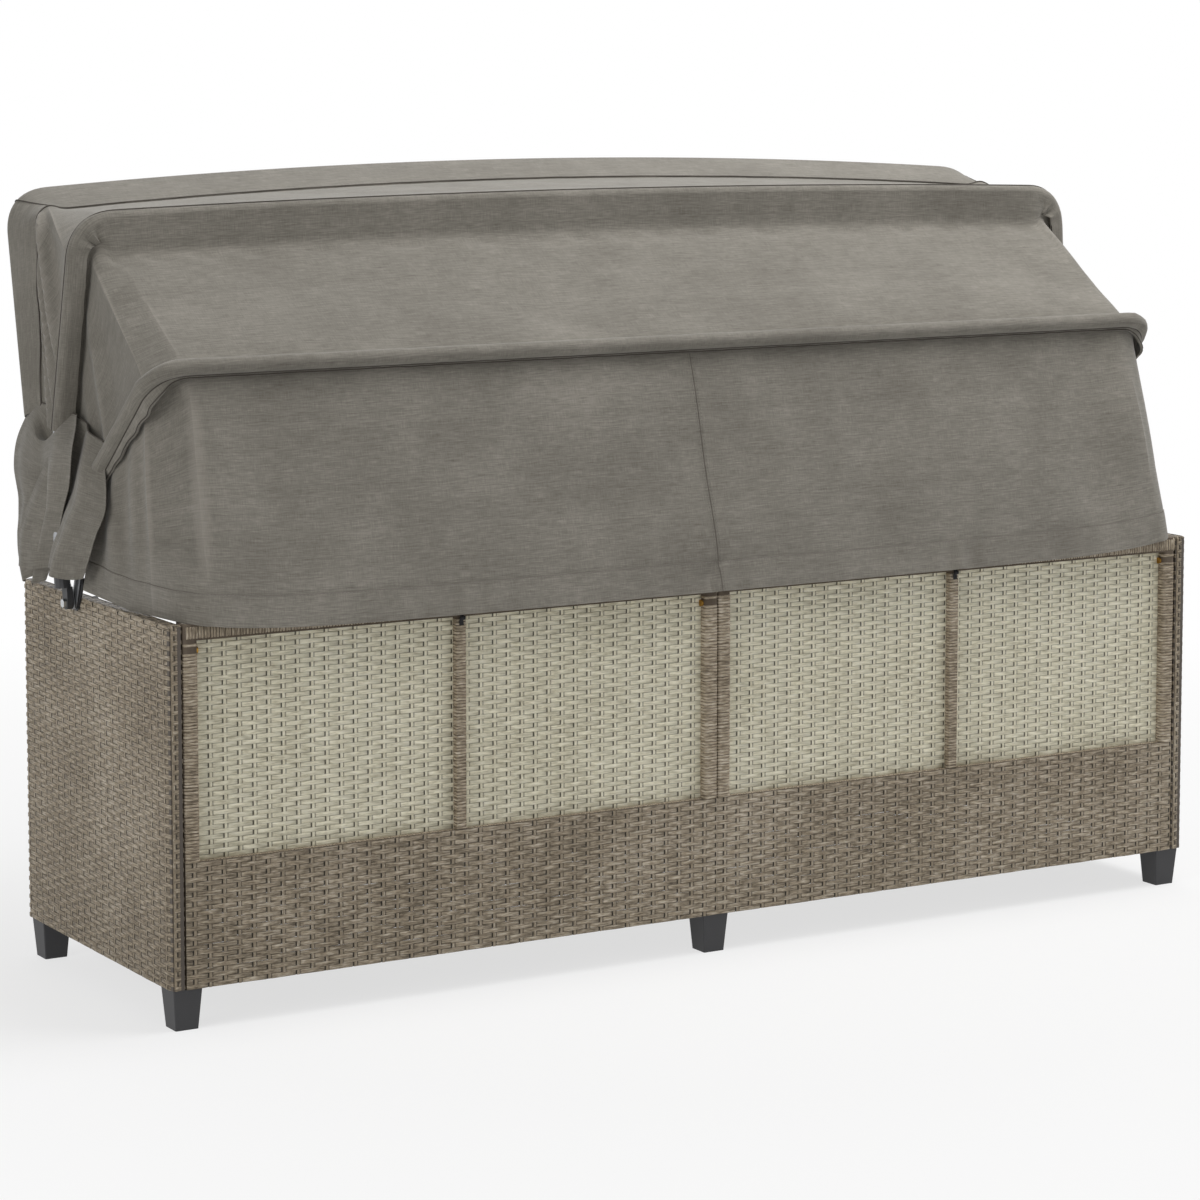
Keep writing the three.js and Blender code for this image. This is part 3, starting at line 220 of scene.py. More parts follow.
# The feet are black moulded plugs with a faint grain, pushed up into the corners of the frames and into the
# joint. The bow eyes are of the same plastic.
BLACK_PLASTIC = srgb(30, 30, 32)
WEAR_START = 0.56
WEAR_FULL = 0.68


def object_place(tree, stretch=(1, 1, 1)):
    """The object's own coordinates in metres, stretched along each axis."""
    place = add_node(tree, "TexCoord", output="Object")
    return add_node(tree, "Mapping", None, {"Vector": place, "Scale": stretch})


def grain(tree, place, scale, detail=3, roughness=0.6):
    """A noise from 0 to 1."""
    sockets = {"Vector": place, "Scale": scale, "Detail": detail, "Roughness": roughness}
    return add_node(tree, "TexNoise", None, sockets)


def ramp(tree, factor, stops):
    return add_node(tree, "ValToRGB", {"stops": stops}, {"Fac": factor})


def mixed(tree, factor, colour, other):
    """A colour with a plain one laid over it by a factor."""
    return add_node(tree, "Mix", {"data_type": "RGBA"}, {"Factor": factor, "A": colour, "B": (*other, 1)}, 2)


def finish_with(tree, out, sockets):
    """The Principled shader with these sockets, joined to the output."""
    shader = add_node(tree, "BsdfPrincipled", None, sockets)
    tree.links.new(shader.socket, out.inputs[0])


def raised(tree, height, distance):
    """A normal bumped by a height from 0 to 1, times a distance in metres."""
    return add_node(tree, "Bump", None, {"Height": height, "Distance": distance})


def scuffed(name, colour, worn, roughness, metallic=0.0, bump=0.00004):
    """Moulded, painted or plated: a fine grain, slow changes of tone, and wear on the edges."""
    material, tree, out = new_finish(name)
    place = object_place(tree)
    fine = grain(tree, place, 900)
    broad = grain(tree, place, 14, 2)
    edge = add_node(tree, "NewGeometry", None, None, "Pointiness")
    edges = {"Value": edge + fine * 0.06, "From Min": WEAR_START, "From Max": WEAR_FULL}
    rub = add_node(tree, "MapRange", None, edges)
    darker = tuple(0.8 * c for c in colour)
    paint = ramp(tree, broad * 0.6 + fine * 0.4, [(0.35, darker), (0.65, colour)])
    finish_with(tree, out, {
        "Base Color": mixed(tree, rub * 0.7, paint, worn),
        "Roughness": roughness + (fine - 0.5) * 0.2,
        "Metallic": metallic,
        "Normal": raised(tree, fine, bump),
    })
    return material


def give(nodes, material):
    """Gives CAD nodes or new pieces one material."""
    for node in nodes:
        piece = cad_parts[node] if isinstance(node, str) else node
        piece.data.materials.clear()
        piece.data.materials.append(material)


def named(start):
    return [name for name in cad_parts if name.startswith(start)]


black_plastic = scuffed("black_plastic", BLACK_PLASTIC, srgb(70, 70, 72), 0.5, bump=0.00006)
give(named("foot_") + named("mid_bow_eye"), black_plastic)


# Under the weave each arm and seat module is a ladder of square steel tube, welded and powder coated dark
# brown.
FRAME_STEEL = srgb(66, 58, 50)
frame_steel = scuffed("frame_steel", FRAME_STEEL, srgb(120, 112, 104), 0.55, 0.2)
give(named("arm_frame") + named("seat_frame"), frame_steel)


# Wicker is a flat strand of extruded plastic. Horizontal strands pass over and under upright stakes, and
# alternate rows change sides. The arms are woven as a bag that is pulled down over the frame.
STRAND_WIDTH = 7.6 * MM
STRAND_THICK = 0.9 * MM
STRAND_EDGE = 0.78 * MM
STRAND_DIP = 1.5 * MM
STRAND_STOPS_SHARES = (-1, -0.86, -0.75, 0, 0.8, 0.89, 1)
STRAND_DIP_SHARES = (1, 0.9, 0.08, 0, 0.08, 0.7, 1)
STRAND_SHADE = (1, 1, 0.2, 0, 0, 0.7, 1)
STRAND_SLACK = 0.25 * MM
STAKE_WIDTH = 5 * MM
STAKE_THICK = 0.6 * MM
STAKE_EDGE = 0.5 * MM
STAKE_DEPTH = 0.95 * MM
STAKE_SWAY = 0.35 * MM
STAKE_PITCH = 24.6 * MM
ROW_PITCH = 7.5 * MM
ARM_BEND = 7 * MM
MERGE_REACH = 1e-5
BROWN_DARK = srgb(84, 73, 58)
BROWN = srgb(160, 146, 124)
BROWN_LIGHT = srgb(212, 201, 183)
STAKE_BROWN = srgb(140, 127, 107)
CREAM_DARK = srgb(196, 188, 161)
CREAM = srgb(238, 232, 207)
CREAM_LIGHT = srgb(250, 246, 227)
STREAKS_ACROSS = 1100
STREAKS_ALONG = 45
PAINTED_SHADE_SHARE = 0.13
ROW_EDGE_SHADE = 0.65


def strand_finish(name, dark, middle, light, across):
    """Extruded strand: fine grooves along its run, square to the axis across, drifting tones, painted shade.
    """
    material, tree, out = new_finish(name)
    stretch = [STREAKS_ALONG] * 3
    stretch[across] = STREAKS_ACROSS
    if across == 0:
        stretch[1] = STREAKS_ACROSS
    grooves = grain(tree, object_place(tree, stretch), 1, 4, 0.7)
    slow = [0.3 * s if s > STREAKS_ALONG else s * 1.6 for s in stretch]
    drift = grain(tree, object_place(tree, slow), 1, 2)
    blotch = grain(tree, object_place(tree), 5, 2)
    tone = grooves * 0.5 + drift * 0.35 + blotch * 0.15
    fresh = ramp(tree, tone, [(0.38, dark), (0.5, middle), (0.62, light)])
    # The attribute depth mixes in a near-black tone: painted shade where the weave goes deep.
    depth = add_node(tree, "Attribute", {"attribute_name": "depth"}, None, "Fac")
    painted_shade = tuple(PAINTED_SHADE_SHARE * c for c in dark)
    finish_with(tree, out, {
        "Base Color": mixed(tree, depth, fresh, painted_shade),
        "Roughness": 0.42 + grooves * 0.3,
        "Specular IOR Level": 0.4,
        "Normal": raised(tree, grooves, 0.00012),
    })
    return material


def deselect():
    bpy.ops.object.select_all(action="DESELECT")


def select_only(piece):
    deselect()
    piece.select_set(True)
    bpy.context.view_layer.objects.active = piece


def points_of(piece):
    """A piece's vertices as an array of places."""
    flat = np.empty(3 * len(piece.data.vertices), np.float32)
    piece.data.vertices.foreach_get("co", flat)
    return flat.reshape(-1, 3).astype(float)


def place_points(piece, places):
    piece.data.vertices.foreach_set("co", np.asarray(places, np.float32).ravel())
    piece.data.update()


def select_edges(piece, chosen):
    """In edit mode, selects the edges whose two end places satisfy chosen."""
    mesh = bmesh.from_edit_mesh(piece.data)
    for part in (*mesh.verts, *mesh.edges, *mesh.faces):
        part.select = False
    for edge in mesh.edges:
        if chosen(edge.verts[0].co, edge.verts[1].co):
            edge.select_set(True)
    bmesh.update_edit_mesh(piece.data)


def new_bar(name, size):
    """A box of this size about the origin, with no place or scale of its own."""
    deselect()
    bpy.ops.mesh.primitive_cube_add(size=1, scale=size)
    piece = bpy.context.object
    piece.name = name
    bpy.ops.object.transform_apply(location=True, rotation=True, scale=True)
    return piece


def along_axis(axis):
    """True for an edge that runs along an axis."""
    return lambda a, b: (a - b).length - abs((a - b)[axis]) < 1e-7


def bevel_edges(piece, chosen, width, segments):
    bpy.ops.object.mode_set(mode="EDIT")
    bpy.ops.mesh.select_mode(type="EDGE")
    select_edges(piece, chosen)
    bpy.ops.mesh.bevel(offset=width, segments=segments, affect="EDGES")
    bpy.ops.object.mode_set(mode="OBJECT")


def cut_along(piece, axis, cuts):
    """Cuts a bar across into cuts + 1 lengths and opens its two ends."""
    bpy.ops.object.mode_set(mode="EDIT")
    bpy.ops.mesh.select_mode(type="EDGE")
    select_edges(piece, along_axis(axis))
    bpy.ops.mesh.subdivide(number_cuts=cuts)
    mesh = bmesh.from_edit_mesh(piece.data)
    ends = [f for f in mesh.faces if abs(abs(f.normal[axis]) - 1) < 1e-4]
    bmesh.ops.delete(mesh, geom=ends, context="FACES_ONLY")
    bmesh.update_edit_mesh(piece.data)
    bpy.ops.object.mode_set(mode="OBJECT")


def modified(piece, kind, **settings):
    """Adds a modifier with these settings to a piece and applies it."""
    select_only(piece)
    modifier = piece.modifiers.new(kind, kind)
    for name, value in settings.items():
        setattr(modifier, name, value)
    bpy.ops.object.modifier_apply(modifier=modifier.name)


def repeat(piece, axis, step, count):
    """Repeats a piece along an axis and joins what meets."""
    modified(
        piece,
        "ARRAY",
        use_relative_offset=False,
        use_constant_offset=True,
        constant_offset_displace=[step if i == axis else 0 for i in range(3)],
        count=count,
        use_merge_vertices=True,
        merge_threshold=MERGE_REACH,
    )


def copy_of(piece, name):
    copy = piece.copy()
    copy.data = piece.data.copy()
    copy.name = name
    bpy.context.collection.objects.link(copy)
    return copy


def copy_moved(piece, move):
    """Copies a piece, moves the copy and joins the two."""
    copy = copy_of(piece, piece.name + "_copy")
    place_points(copy, points_of(copy) + np.array(move))
    select_only(piece)
    copy.select_set(True)
    bpy.ops.object.join()


def trim(piece, axis, low, high):
    """Cuts a piece to the space between two planes and closes the cuts."""
    select_only(piece)
    bpy.ops.object.mode_set(mode="EDIT")
    for plane, inner, outer in ((low, True, False), (high, False, True)):
        bpy.ops.mesh.select_all(action="SELECT")
        bpy.ops.mesh.bisect(
            plane_co=[plane if i == axis else 0 for i in range(3)],
            plane_no=[1 if i == axis else 0 for i in range(3)],
            use_fill=True,
            clear_inner=inner,
            clear_outer=outer,
        )
    bpy.ops.object.mode_set(mode="OBJECT")


def woven(name, length, height, seed, closed=False):
    """Strands and stakes over a length along X and a height along Z from 0, with their face at y = 0."""
    random = np.random.default_rng(seed)
    pairs = max(1, round(length / STAKE_PITCH / 2))
    spacing = length / pairs / 2 if closed else STAKE_PITCH
    pairs = pairs if closed else math.ceil(length / spacing / 2)
    row_pairs = height / ROW_PITCH / 2
    rows = max(1, round(row_pairs)) if height > 4 * ROW_PITCH else math.ceil(row_pairs)
    pitch = height / rows / 2
    strand = new_bar(name + "_strands", (2 * spacing, STRAND_THICK, STRAND_WIDTH))
    bevel_edges(strand, lambda a, b: along_axis(0)(a, b) and a.y > 0, STRAND_EDGE, 1)
    cut_along(strand, 0, len(STRAND_STOPS_SHARES) - 2)
    places = points_of(strand)
    stop = np.rint((places[:, 0] / spacing + 1) / 2 * (len(STRAND_STOPS_SHARES) - 1)).astype(int)
    places[:, 0] = np.array(STRAND_STOPS_SHARES)[stop] * spacing
    places[:, 1] -= STRAND_THICK / 2 + STRAND_DIP * np.array(STRAND_DIP_SHARES)[stop]
    places[:, 2] += pitch / 2
    place_points(strand, places)
    repeat(strand, 0, 2 * spacing, pairs + (0 if closed else 1))
    copy_moved(strand, (spacing, 0, pitch))
    repeat(strand, 2, 2 * pitch, rows)
    stake = new_bar(name + "_stakes", (STAKE_WIDTH, STAKE_THICK, 2 * pitch))
    bevel_edges(stake, lambda a, b: along_axis(2)(a, b) and a.y > 0, STAKE_EDGE, 1)
    cut_along(stake, 2, 3)
    places = points_of(stake)
    places[:, 1] += STAKE_SWAY * np.cos(np.pi * places[:, 2] / pitch) - STAKE_DEPTH
    places[:, 2] += pitch * 1.5
    place_points(stake, places)
    copy_moved(stake, (spacing, 0, -pitch))
    repeat(stake, 0, 2 * spacing, pairs + (0 if closed else 1))
    repeat(stake, 2, 2 * pitch, rows + 1)
    trim(stake, 2, 0, height)
    if not closed:
        trim(strand, 0, 0, length)
        trim(stake, 0, 0, length)
    places = points_of(strand)
    row = np.rint(places[:, 2] / pitch - 0.5).astype(int)
    column = np.rint(places[:, 0] / spacing).astype(int) % (2 * pairs if closed else 10**6)
    slack = random.uniform(-1, 1, (row.max() + 2, column.max() + 2))
    places[:, 2] += STRAND_SLACK * slack[row, column]
    places[:, 1] -= STRAND_SLACK / 2 * (1 + slack[row, column - 1])
    # Painted shade: strands darken where they dip under a stake, more on one side, and along their long
    # edges; stakes darken along their sides.
    from_row = np.abs(places[:, 2] / pitch - 0.5 - row) * pitch / (STRAND_WIDTH / 2)
    along = np.mod(places[:, 0] / spacing + row % 2 + 1, 2) - 1
    shade = np.interp(along, STRAND_STOPS_SHARES, STRAND_SHADE)
    edge = ROW_EDGE_SHADE * np.clip(from_row - 0.75, 0, 0.25) / 0.25
    write_shares(strand, "depth", np.clip(shade + edge, 0, 1))
    place_points(strand, places)
    across = np.abs(np.mod(points_of(stake)[:, 0] + spacing / 2, spacing) - spacing / 2) / (STAKE_WIDTH / 2)
    write_shares(stake, "depth", 0.1 + 0.5 * np.clip((across - 0.9) / 0.1, 0, 1))
    return strand, stake


def write_shares(piece, name, shares):
    """Keeps one value for each point of a piece under this name."""
    layer = piece.data.attributes.get(name) or piece.data.attributes.new(name, "FLOAT", "POINT")
    layer.data.foreach_set("value", np.asarray(shares, np.float32).ravel())


def smooth_within(piece, degrees):
    select_only(piece)
    bpy.ops.object.shade_smooth_by_angle(angle=math.radians(degrees))


def mend(piece, merge=False, cap=0, outwards=True):
    """Merges points that lie together, closes holes of up to cap sides and turns the normals outwards."""
    select_only(piece)
    bpy.ops.object.mode_set(mode="EDIT")
    bpy.ops.mesh.select_all(action="SELECT")
    if merge:
        bpy.ops.mesh.remove_doubles(threshold=MERGE_REACH)
    if cap:
        bpy.ops.mesh.fill_holes(sides=cap)
    if outwards:
        bpy.ops.mesh.normals_make_consistent(inside=False)
    bpy.ops.object.mode_set(mode="OBJECT")


def round_the_arm(piece, low, high):
    """Wraps a flat weave round the upright outline of an arm, from its front inner corner."""
    width, depth = high.x - low.x - 2 * ARM_BEND, high.y - low.y - 2 * ARM_BEND
    quarter = ARM_BEND * math.pi / 2
    runs = [width, quarter, depth, quarter, width, quarter, depth, quarter]
    starts = np.concatenate([[0], np.cumsum(runs)])
    places = points_of(piece)
    s = np.mod(places[:, 0], starts[-1])
    wrapped = places.copy()
    corner = [Vector((low.x + ARM_BEND, low.y)), Vector((high.x, low.y + ARM_BEND)),
              Vector((high.x - ARM_BEND, high.y)), Vector((low.x, high.y - ARM_BEND))]
    for side in range(4):
        turn = side * math.pi / 2
        ahead = np.array([math.cos(turn), math.sin(turn)])
        outward = np.array([math.sin(turn), -math.cos(turn)])
        straight = (s >= starts[2 * side]) & (s < starts[2 * side + 1])
        run = (s - starts[2 * side])[straight, None]
        start = np.array(corner[side])
        wrapped[straight, :2] = start + run * ahead + places[straight, 1:2] * outward
        bent = (s >= starts[2 * side + 1]) & (s < starts[2 * side + 2])
        angle = ((s - starts[2 * side + 1])[bent] / ARM_BEND)[:, None]
        centre = start + runs[2 * side] * ahead - ARM_BEND * outward
        spoke = np.cos(angle) * outward + np.sin(angle) * ahead
        wrapped[bent, :2] = centre + (ARM_BEND + places[bent, 1:2]) * spoke
    place_points(piece, wrapped)


brown_strand = strand_finish("brown_strand", BROWN_DARK, BROWN, BROWN_LIGHT, 2)
brown_stake = strand_finish("brown_stake", BROWN, STAKE_BROWN, BROWN_LIGHT, 0)
rail_strand = strand_finish("rail_strand", BROWN_DARK, BROWN, BROWN_LIGHT, 0)
cream_strand = strand_finish("cream_strand", CREAM_DARK, CREAM, CREAM_LIGHT, 2)
cream_stake = strand_finish("cream_stake", CREAM_DARK, CREAM, CREAM_LIGHT, 0)


def fitted(piece, material, body="base", node=None):
    """Paints a piece, has it ride one body and, where there is one, stand for a CAD node."""
    give([piece], material)
    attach(piece, body)
    if node:
        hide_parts(node)


def settle(pieces, materials, node):
    """Smooths and fits a weave's strands and stakes."""
    for piece, material in zip(pieces, materials):
        mend(piece, merge=True)
        smooth_within(piece, 40)
        fitted(piece, material, node=node)


ARM_TOP_INSET = 3 * MM
for side_name, side in SIDES:
    node = "arm_weave_" + side_name
    low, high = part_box(node)
    outline = 2 * (high.x - low.x + high.y - low.y) - (8 - 2 * math.pi) * ARM_BEND
    pieces = woven(node, outline, high.z - low.z, 11 + side, closed=True)
    for piece in pieces:
        places = points_of(piece)
        places[:, 2] += low.z
        above = np.clip((places[:, 2] - high.z + ARM_TOP_INSET) / ARM_TOP_INSET, 0, 1)
        places[:, 1] -= ARM_TOP_INSET * above**2
        place_points(piece, places)
        round_the_arm(piece, low, high)
    settle(pieces, (brown_strand, brown_stake), node)
    top_depth = high.y - low.y - 2 * ARM_TOP_INSET
    top_width = high.x - low.x - 2 * ARM_TOP_INSET
    top = woven(node + "_top", top_depth, top_width, 21 + side)
    for piece in top:
        places = points_of(piece)
        lying = np.stack([low.x + ARM_TOP_INSET + places[:, 2], low.y + ARM_TOP_INSET + places[:, 0],
                          high.z + places[:, 1] - 0.5 * MM], 1)
        place_points(piece, lying)
    settle(top, (brown_stake, brown_strand), node)


# The back modules show cream weave, set deep between the wrapped tubes, above a brown skirt that hides the
# lower frame. The seat modules have a brown apron of the same weave at the front.
WEAVE_TUCK = 10 * MM
PANEL_RISE = 6 * MM
SKIRT_TURN = 3 * MM
for side_name, side in SIDES:
    node = "back_panel_" + side_name
    low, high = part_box(node)
    pieces = woven(node, high.x - low.x + 2 * WEAVE_TUCK, high.z - low.z, 31 + side)
    for piece in pieces:
        places = points_of(piece)
        x = low.x - WEAVE_TUCK + places[:, 0]
        y = high.y + PANEL_RISE + places[:, 1]
        place_points(piece, np.stack([x, y, low.z + places[:, 2]], 1))
    settle(pieces, (cream_strand, cream_stake), node)
    for start, face in (("back_skirt_", 1), ("front_apron_", -1)):
        node = start + side_name
        low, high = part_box(node)
        pieces = woven(node, high.x - low.x, high.z - low.z, 41 + side + face)
        for piece in pieces:
            places = points_of(piece)
            from_end = np.minimum(places[:, 0], high.x - low.x - places[:, 0])
            places[:, 1] -= 1.2 * MM * np.clip(1 - from_end / SKIRT_TURN, 0, 1) ** 2
            y = high.y + places[:, 1] if face > 0 else low.y - places[:, 1]
            place_points(piece, np.stack([low.x + places[:, 0], y, low.z + places[:, 2]], 1))
        settle(pieces, (brown_strand, brown_stake), node)


# Three tube bows fan out from a pivot on each arm. A bow's centreline runs from one knee up the leg, round
# the corner and over the bar. The cloth's pieces are laid on these lines, so they follow the tubes exactly.
BOW_PIVOT = np.array([0, -21.1, 613]) * MM
STRAP_LENGTH = 140 * MM
KNEE_RADIUS = 90 * MM
CORNER_REACH = 62 * MM
CLOTH = 1.2 * MM
KNEE_STEPS = 6
LEG_STEPS = 34
CORNER_STEPS = 14
BAR_STEPS = 104
LEG_END = KNEE_STEPS + LEG_STEPS - 1
CORNER_END = LEG_END + CORNER_STEPS


def leg_way(degrees):
    """The direction of a leg at an angle above the level, rearwards."""
    angle = math.radians(degrees)
    return np.array([0, math.cos(angle), math.sin(angle)])


def bezier(a, b, c, turn):
    turn = np.asarray(turn)[:, None]
    return a * (1 - turn) ** 2 + 2 * b * turn * (1 - turn) + c * turn**2


def unit(rows):
    return rows / np.linalg.norm(rows, axis=-1, keepdims=True)


def both_sides(half):
    """A half line from the left leg to the middle, continued to the right leg as its mirror image."""
    half = np.array(half, float)
    other = half[-2::-1] * ([-1, 1, 1] if half.ndim > 1 else 1)
    return np.concatenate([half, other])


class Bow:
    """A bow's line, its ways outward and rearward, its turn from leg to bar and its climb up the leg."""

    def __init__(self, foot, half, lower_angle, lower, upper_angle, upper, rise):
        """Half widths at foot and bar, each part of the leg by angle and length, and the rise of the bar."""
        low_way, high_way = leg_way(lower_angle), leg_way(upper_angle)
        leg = lower + upper

        def on_leg(s):
            lean = max(s - STRAP_LENGTH, 0) / (leg - STRAP_LENGTH)
            place = BOW_PIVOT + low_way * min(s, lower) + high_way * max(s - lower, 0)
            return place + np.array([foot + (half - foot) * lean, 0, 0])

        def on_bar(x):
            place = on_leg(leg) + high_way * rise * (1 - (x / half) ** 2)
            place[0] = x
            return place

        reach = KNEE_RADIUS * math.tan(math.radians(abs(lower_angle - upper_angle)) / 2)
        bend = np.linspace(0.5, 1, KNEE_STEPS)
        knee = bezier(on_leg(lower - reach), on_leg(lower), on_leg(lower + reach), bend)
        stops = 1 - (1 - np.linspace(0, 1, LEG_STEPS + 1)[1:]) ** 1.3
        straight = [on_leg(lower + reach + (leg - CORNER_REACH - lower - reach) * stop) for stop in stops]
        rounding = np.linspace(0, 1, CORNER_STEPS + 1)[1:] ** 1.2
        ends = (on_leg(leg - CORNER_REACH), on_bar(half), on_bar(half - CORNER_REACH))
        corner = bezier(*ends, rounding)
        bar = [on_bar(x) for x in np.linspace(half - CORNER_REACH, 0, BAR_STEPS + 1)[1:]]
        ways = [low_way + (high_way - low_way) * t for t in bend]
        ways += [high_way] * (len(straight) + len(corner) + len(bar))
        self.line = both_sides([*knee, *straight, *corner, *bar])
        climbed = np.cumsum([0, *np.linalg.norm(np.diff([*knee, *straight], axis=0), axis=1)])
        self.turn = both_sides([0] * (LEG_END + 1) + [*rounding] + [1] * len(bar))
        self.climb = both_sides([*climbed / climbed[-1]] + [1] * (len(corner) + len(bar)))
        way = unit(both_sides(ways))
        self.rearward = np.stack([np.zeros(len(way)), way[:, 2], -way[:, 1]], 1)
        self.outward = unit(np.cross(self.rearward, np.gradient(self.line, axis=0)))
        self.outward *= np.sign(np.sum(self.outward * (self.line - BOW_PIVOT), axis=1))[:, None]

    def beside(self, outward, rearward):
        """A line beside the bow."""
        return self.line + self.outward * as_column(outward) + self.rearward * as_column(rearward)

    def between(self, on_leg, on_bar):
        """A value that goes from one on the legs to another on the bar."""
        soft = self.turn**2 * (3 - 2 * self.turn)
        return on_leg + (on_bar - on_leg) * soft


def as_column(value):
    return np.asarray(value, float).reshape(-1, 1)


REAR_BOW_HALF = 956 * MM
rear_bow = Bow(979.6 * MM, REAR_BOW_HALF, 70, 220 * MM, 44.8, 257 * MM, 0)
mid_bow = Bow(997.5 * MM, 958 * MM, 97.5, 270 * MM, 87.4, 331.7 * MM, 16 * MM)
front_bow = Bow(982.9 * MM, 957 * MM, 122.4, 330 * MM, 108.2, 362.5 * MM, 36 * MM)
side_of = np.sign(rear_bow.line[:, 0])


# The canopy cloth is a heavy woven polyester, taupe with paler slubs in the weft. Its seams show as thin
# dark lines: dark thread tubes, which also stand for the painted shade in the seams' creases. The hem and
# the seam in the middle of the drop cloth are sewn with paler thread, in rows of stitches.
CLOTH_DARK = srgb(99, 93, 85)
CLOTH_BASE = srgb(126, 122, 113)
CLOTH_LIGHT = srgb(157, 151, 142)
SEAM_THREAD_AND_SHADE_COLOUR = srgb(62, 56, 50)
SOFT_THREAD_COLOUR = srgb(100, 94, 86)
THREAD_PITCH = 900
SLUB_LENGTH = 28
SLUB_WIDTH = 430
SEAM_WIDTH = 1.1 * MM
STITCH_LENGTH = 4.2 * MM
STITCH_PITCH = 6.5 * MM
STITCH_WIDTH = 0.9 * MM
TUBE_SIDES = 6
NO_AXIS = (0.31, 0.52, 0.79)


def cloth_finish(name, dark, base, light):
    """Woven cloth: crossed threads, slubs along the weft, a slow mottling, and paler ridges, worn and painted
    highlight.
    """
    material, tree, out = new_finish(name)
    thread = add_node(tree, "UVMap", {"uv_map": "thread"})

    def threads(across, along, detail=2):
        place = add_node(tree, "Mapping", None, {"Vector": thread, "Scale": (across, along, 1)})
        return grain(tree, place, 1, detail, 0.6)

    weft = threads(60, THREAD_PITCH)
    warp = threads(THREAD_PITCH, 60)
    slubs = threads(SLUB_LENGTH, SLUB_WIDTH, 3)
    bands = threads(0.7, 45)
    mottle = grain(tree, object_place(tree), 7, 4, 0.65)
    tone = weft * 0.2 + warp * 0.2 + slubs * 0.28 + bands * 0.1 + mottle * 0.22
    woven_colour = ramp(tree, tone, [(0.36, dark), (0.5, base), (0.66, light)])
    # Paler along bends and ridges by an attribute: in part rubbing wear, in part a painted highlight.
    rub = add_node(tree, "Attribute", {"attribute_name": "rub"}, None, "Fac")
    relief = (weft + warp) * 0.5
    finish_with(tree, out, {
        "Base Color": mixed(tree, rub * (0.3 + slubs * 0.6), woven_colour, light),
        "Roughness": 0.82 + mottle * 0.12,
        "Sheen Weight": 0.25,
        "Sheen Roughness": 0.5,
        "Specular IOR Level": 0.2,
        "Normal": raised(tree, relief * 0.6 + slubs * 0.4, 0.0005),
    })
    return material


canopy_cloth = cloth_finish("canopy_cloth", CLOTH_DARK, CLOTH_BASE, CLOTH_LIGHT)
seam_thread = scuffed("seam_thread", SEAM_THREAD_AND_SHADE_COLOUR, srgb(90, 84, 76), 0.75)
soft_thread = scuffed("soft_thread", SOFT_THREAD_COLOUR, srgb(120, 114, 106), 0.8)


def new_piece(name, points, faces):
    mesh = bpy.data.meshes.new(name)
    mesh.from_pydata(points.reshape(-1, 3).tolist(), [], faces)
    piece = bpy.data.objects.new(name, mesh)
    bpy.context.collection.objects.link(piece)
    return piece


def sewn(name, rows, closed=False, turned=False):
    """A mesh on rows of points, with the map "thread" that measures the cloth in metres."""
    rows = np.asarray(rows, float)
    count, width = rows.shape[:2]
    steps = np.linalg.norm(np.diff(rows, axis=0), axis=2).mean(axis=1)
    up = np.concatenate([[0], np.cumsum(steps)])
    ring = np.concatenate([rows, rows[:, :1]], axis=1)
    over = np.concatenate([[0], np.cumsum(np.linalg.norm(np.diff(ring, axis=1), axis=2).mean(axis=0))])
    faces = []
    threads = []
    for i in range(count - 1):
        for j in range(width if closed else width - 1):
            k = (j + 1) % width
            faces.append((i * width + j, i * width + k, (i + 1) * width + k, (i + 1) * width + j))
            for a, b in ((j, i), (j + 1, i), (j + 1, i + 1), (j, i + 1)):
                threads.append((up[b], over[a]) if turned else (over[a], up[b]))
    piece = new_piece(name, rows, faces)
    piece.data.uv_layers.new(name="thread").data.foreach_set("uv", np.array(threads, np.float32).ravel())
    return piece


def read_shares(piece, name):
    values = np.empty(len(piece.data.vertices), np.float32)
    piece.data.attributes[name].data.foreach_get("value", values)
    return values


def give_thickness(piece, thickness=CLOTH, angle=40):
    """Gives a sheet its thickness, closed all round, and smooths it."""
    modified(piece, "SOLIDIFY", thickness=thickness, offset=0)
    mend(piece)
    smooth_within(piece, angle)


def ripple(places, size, depth, seed):
    """A slow noise over places, as a length of about depth."""
    flat = np.asarray(places).reshape(-1, 3) / size + seed
    waves = [noise.noise(Vector(place)) for place in flat]
    return depth * np.array(waves).reshape(np.asarray(places).shape[:-1])


def tube_along(name, path, radius):
    """A thin closed tube along a path, with capped ends."""
    path = np.asarray(path, float)
    ahead = unit(np.gradient(path, axis=0))
    square = unit(np.cross(ahead, NO_AXIS))
    other = np.cross(ahead, square)
    angles = np.arange(TUBE_SIDES) * 2 * math.pi / TUBE_SIDES
    rings = [square * math.cos(a) + other * math.sin(a) for a in angles]
    rows = path[:, None] + radius * np.stack(rings, 1)
    piece = sewn(name, rows, closed=True, turned=True)
    mend(piece, cap=TUBE_SIDES)
    smooth_within(piece, 60)
    return piece


def measured(path, pitch):
    """Places at an even pitch along a path."""
    path = np.asarray(path, float)
    run = np.concatenate([[0], np.cumsum(np.linalg.norm(np.diff(path, axis=0), axis=1))])
    stops = np.arange(pitch / 2, run[-1], pitch)
    return np.stack([np.interp(stops, run, path[:, i]) for i in range(3)], 1)


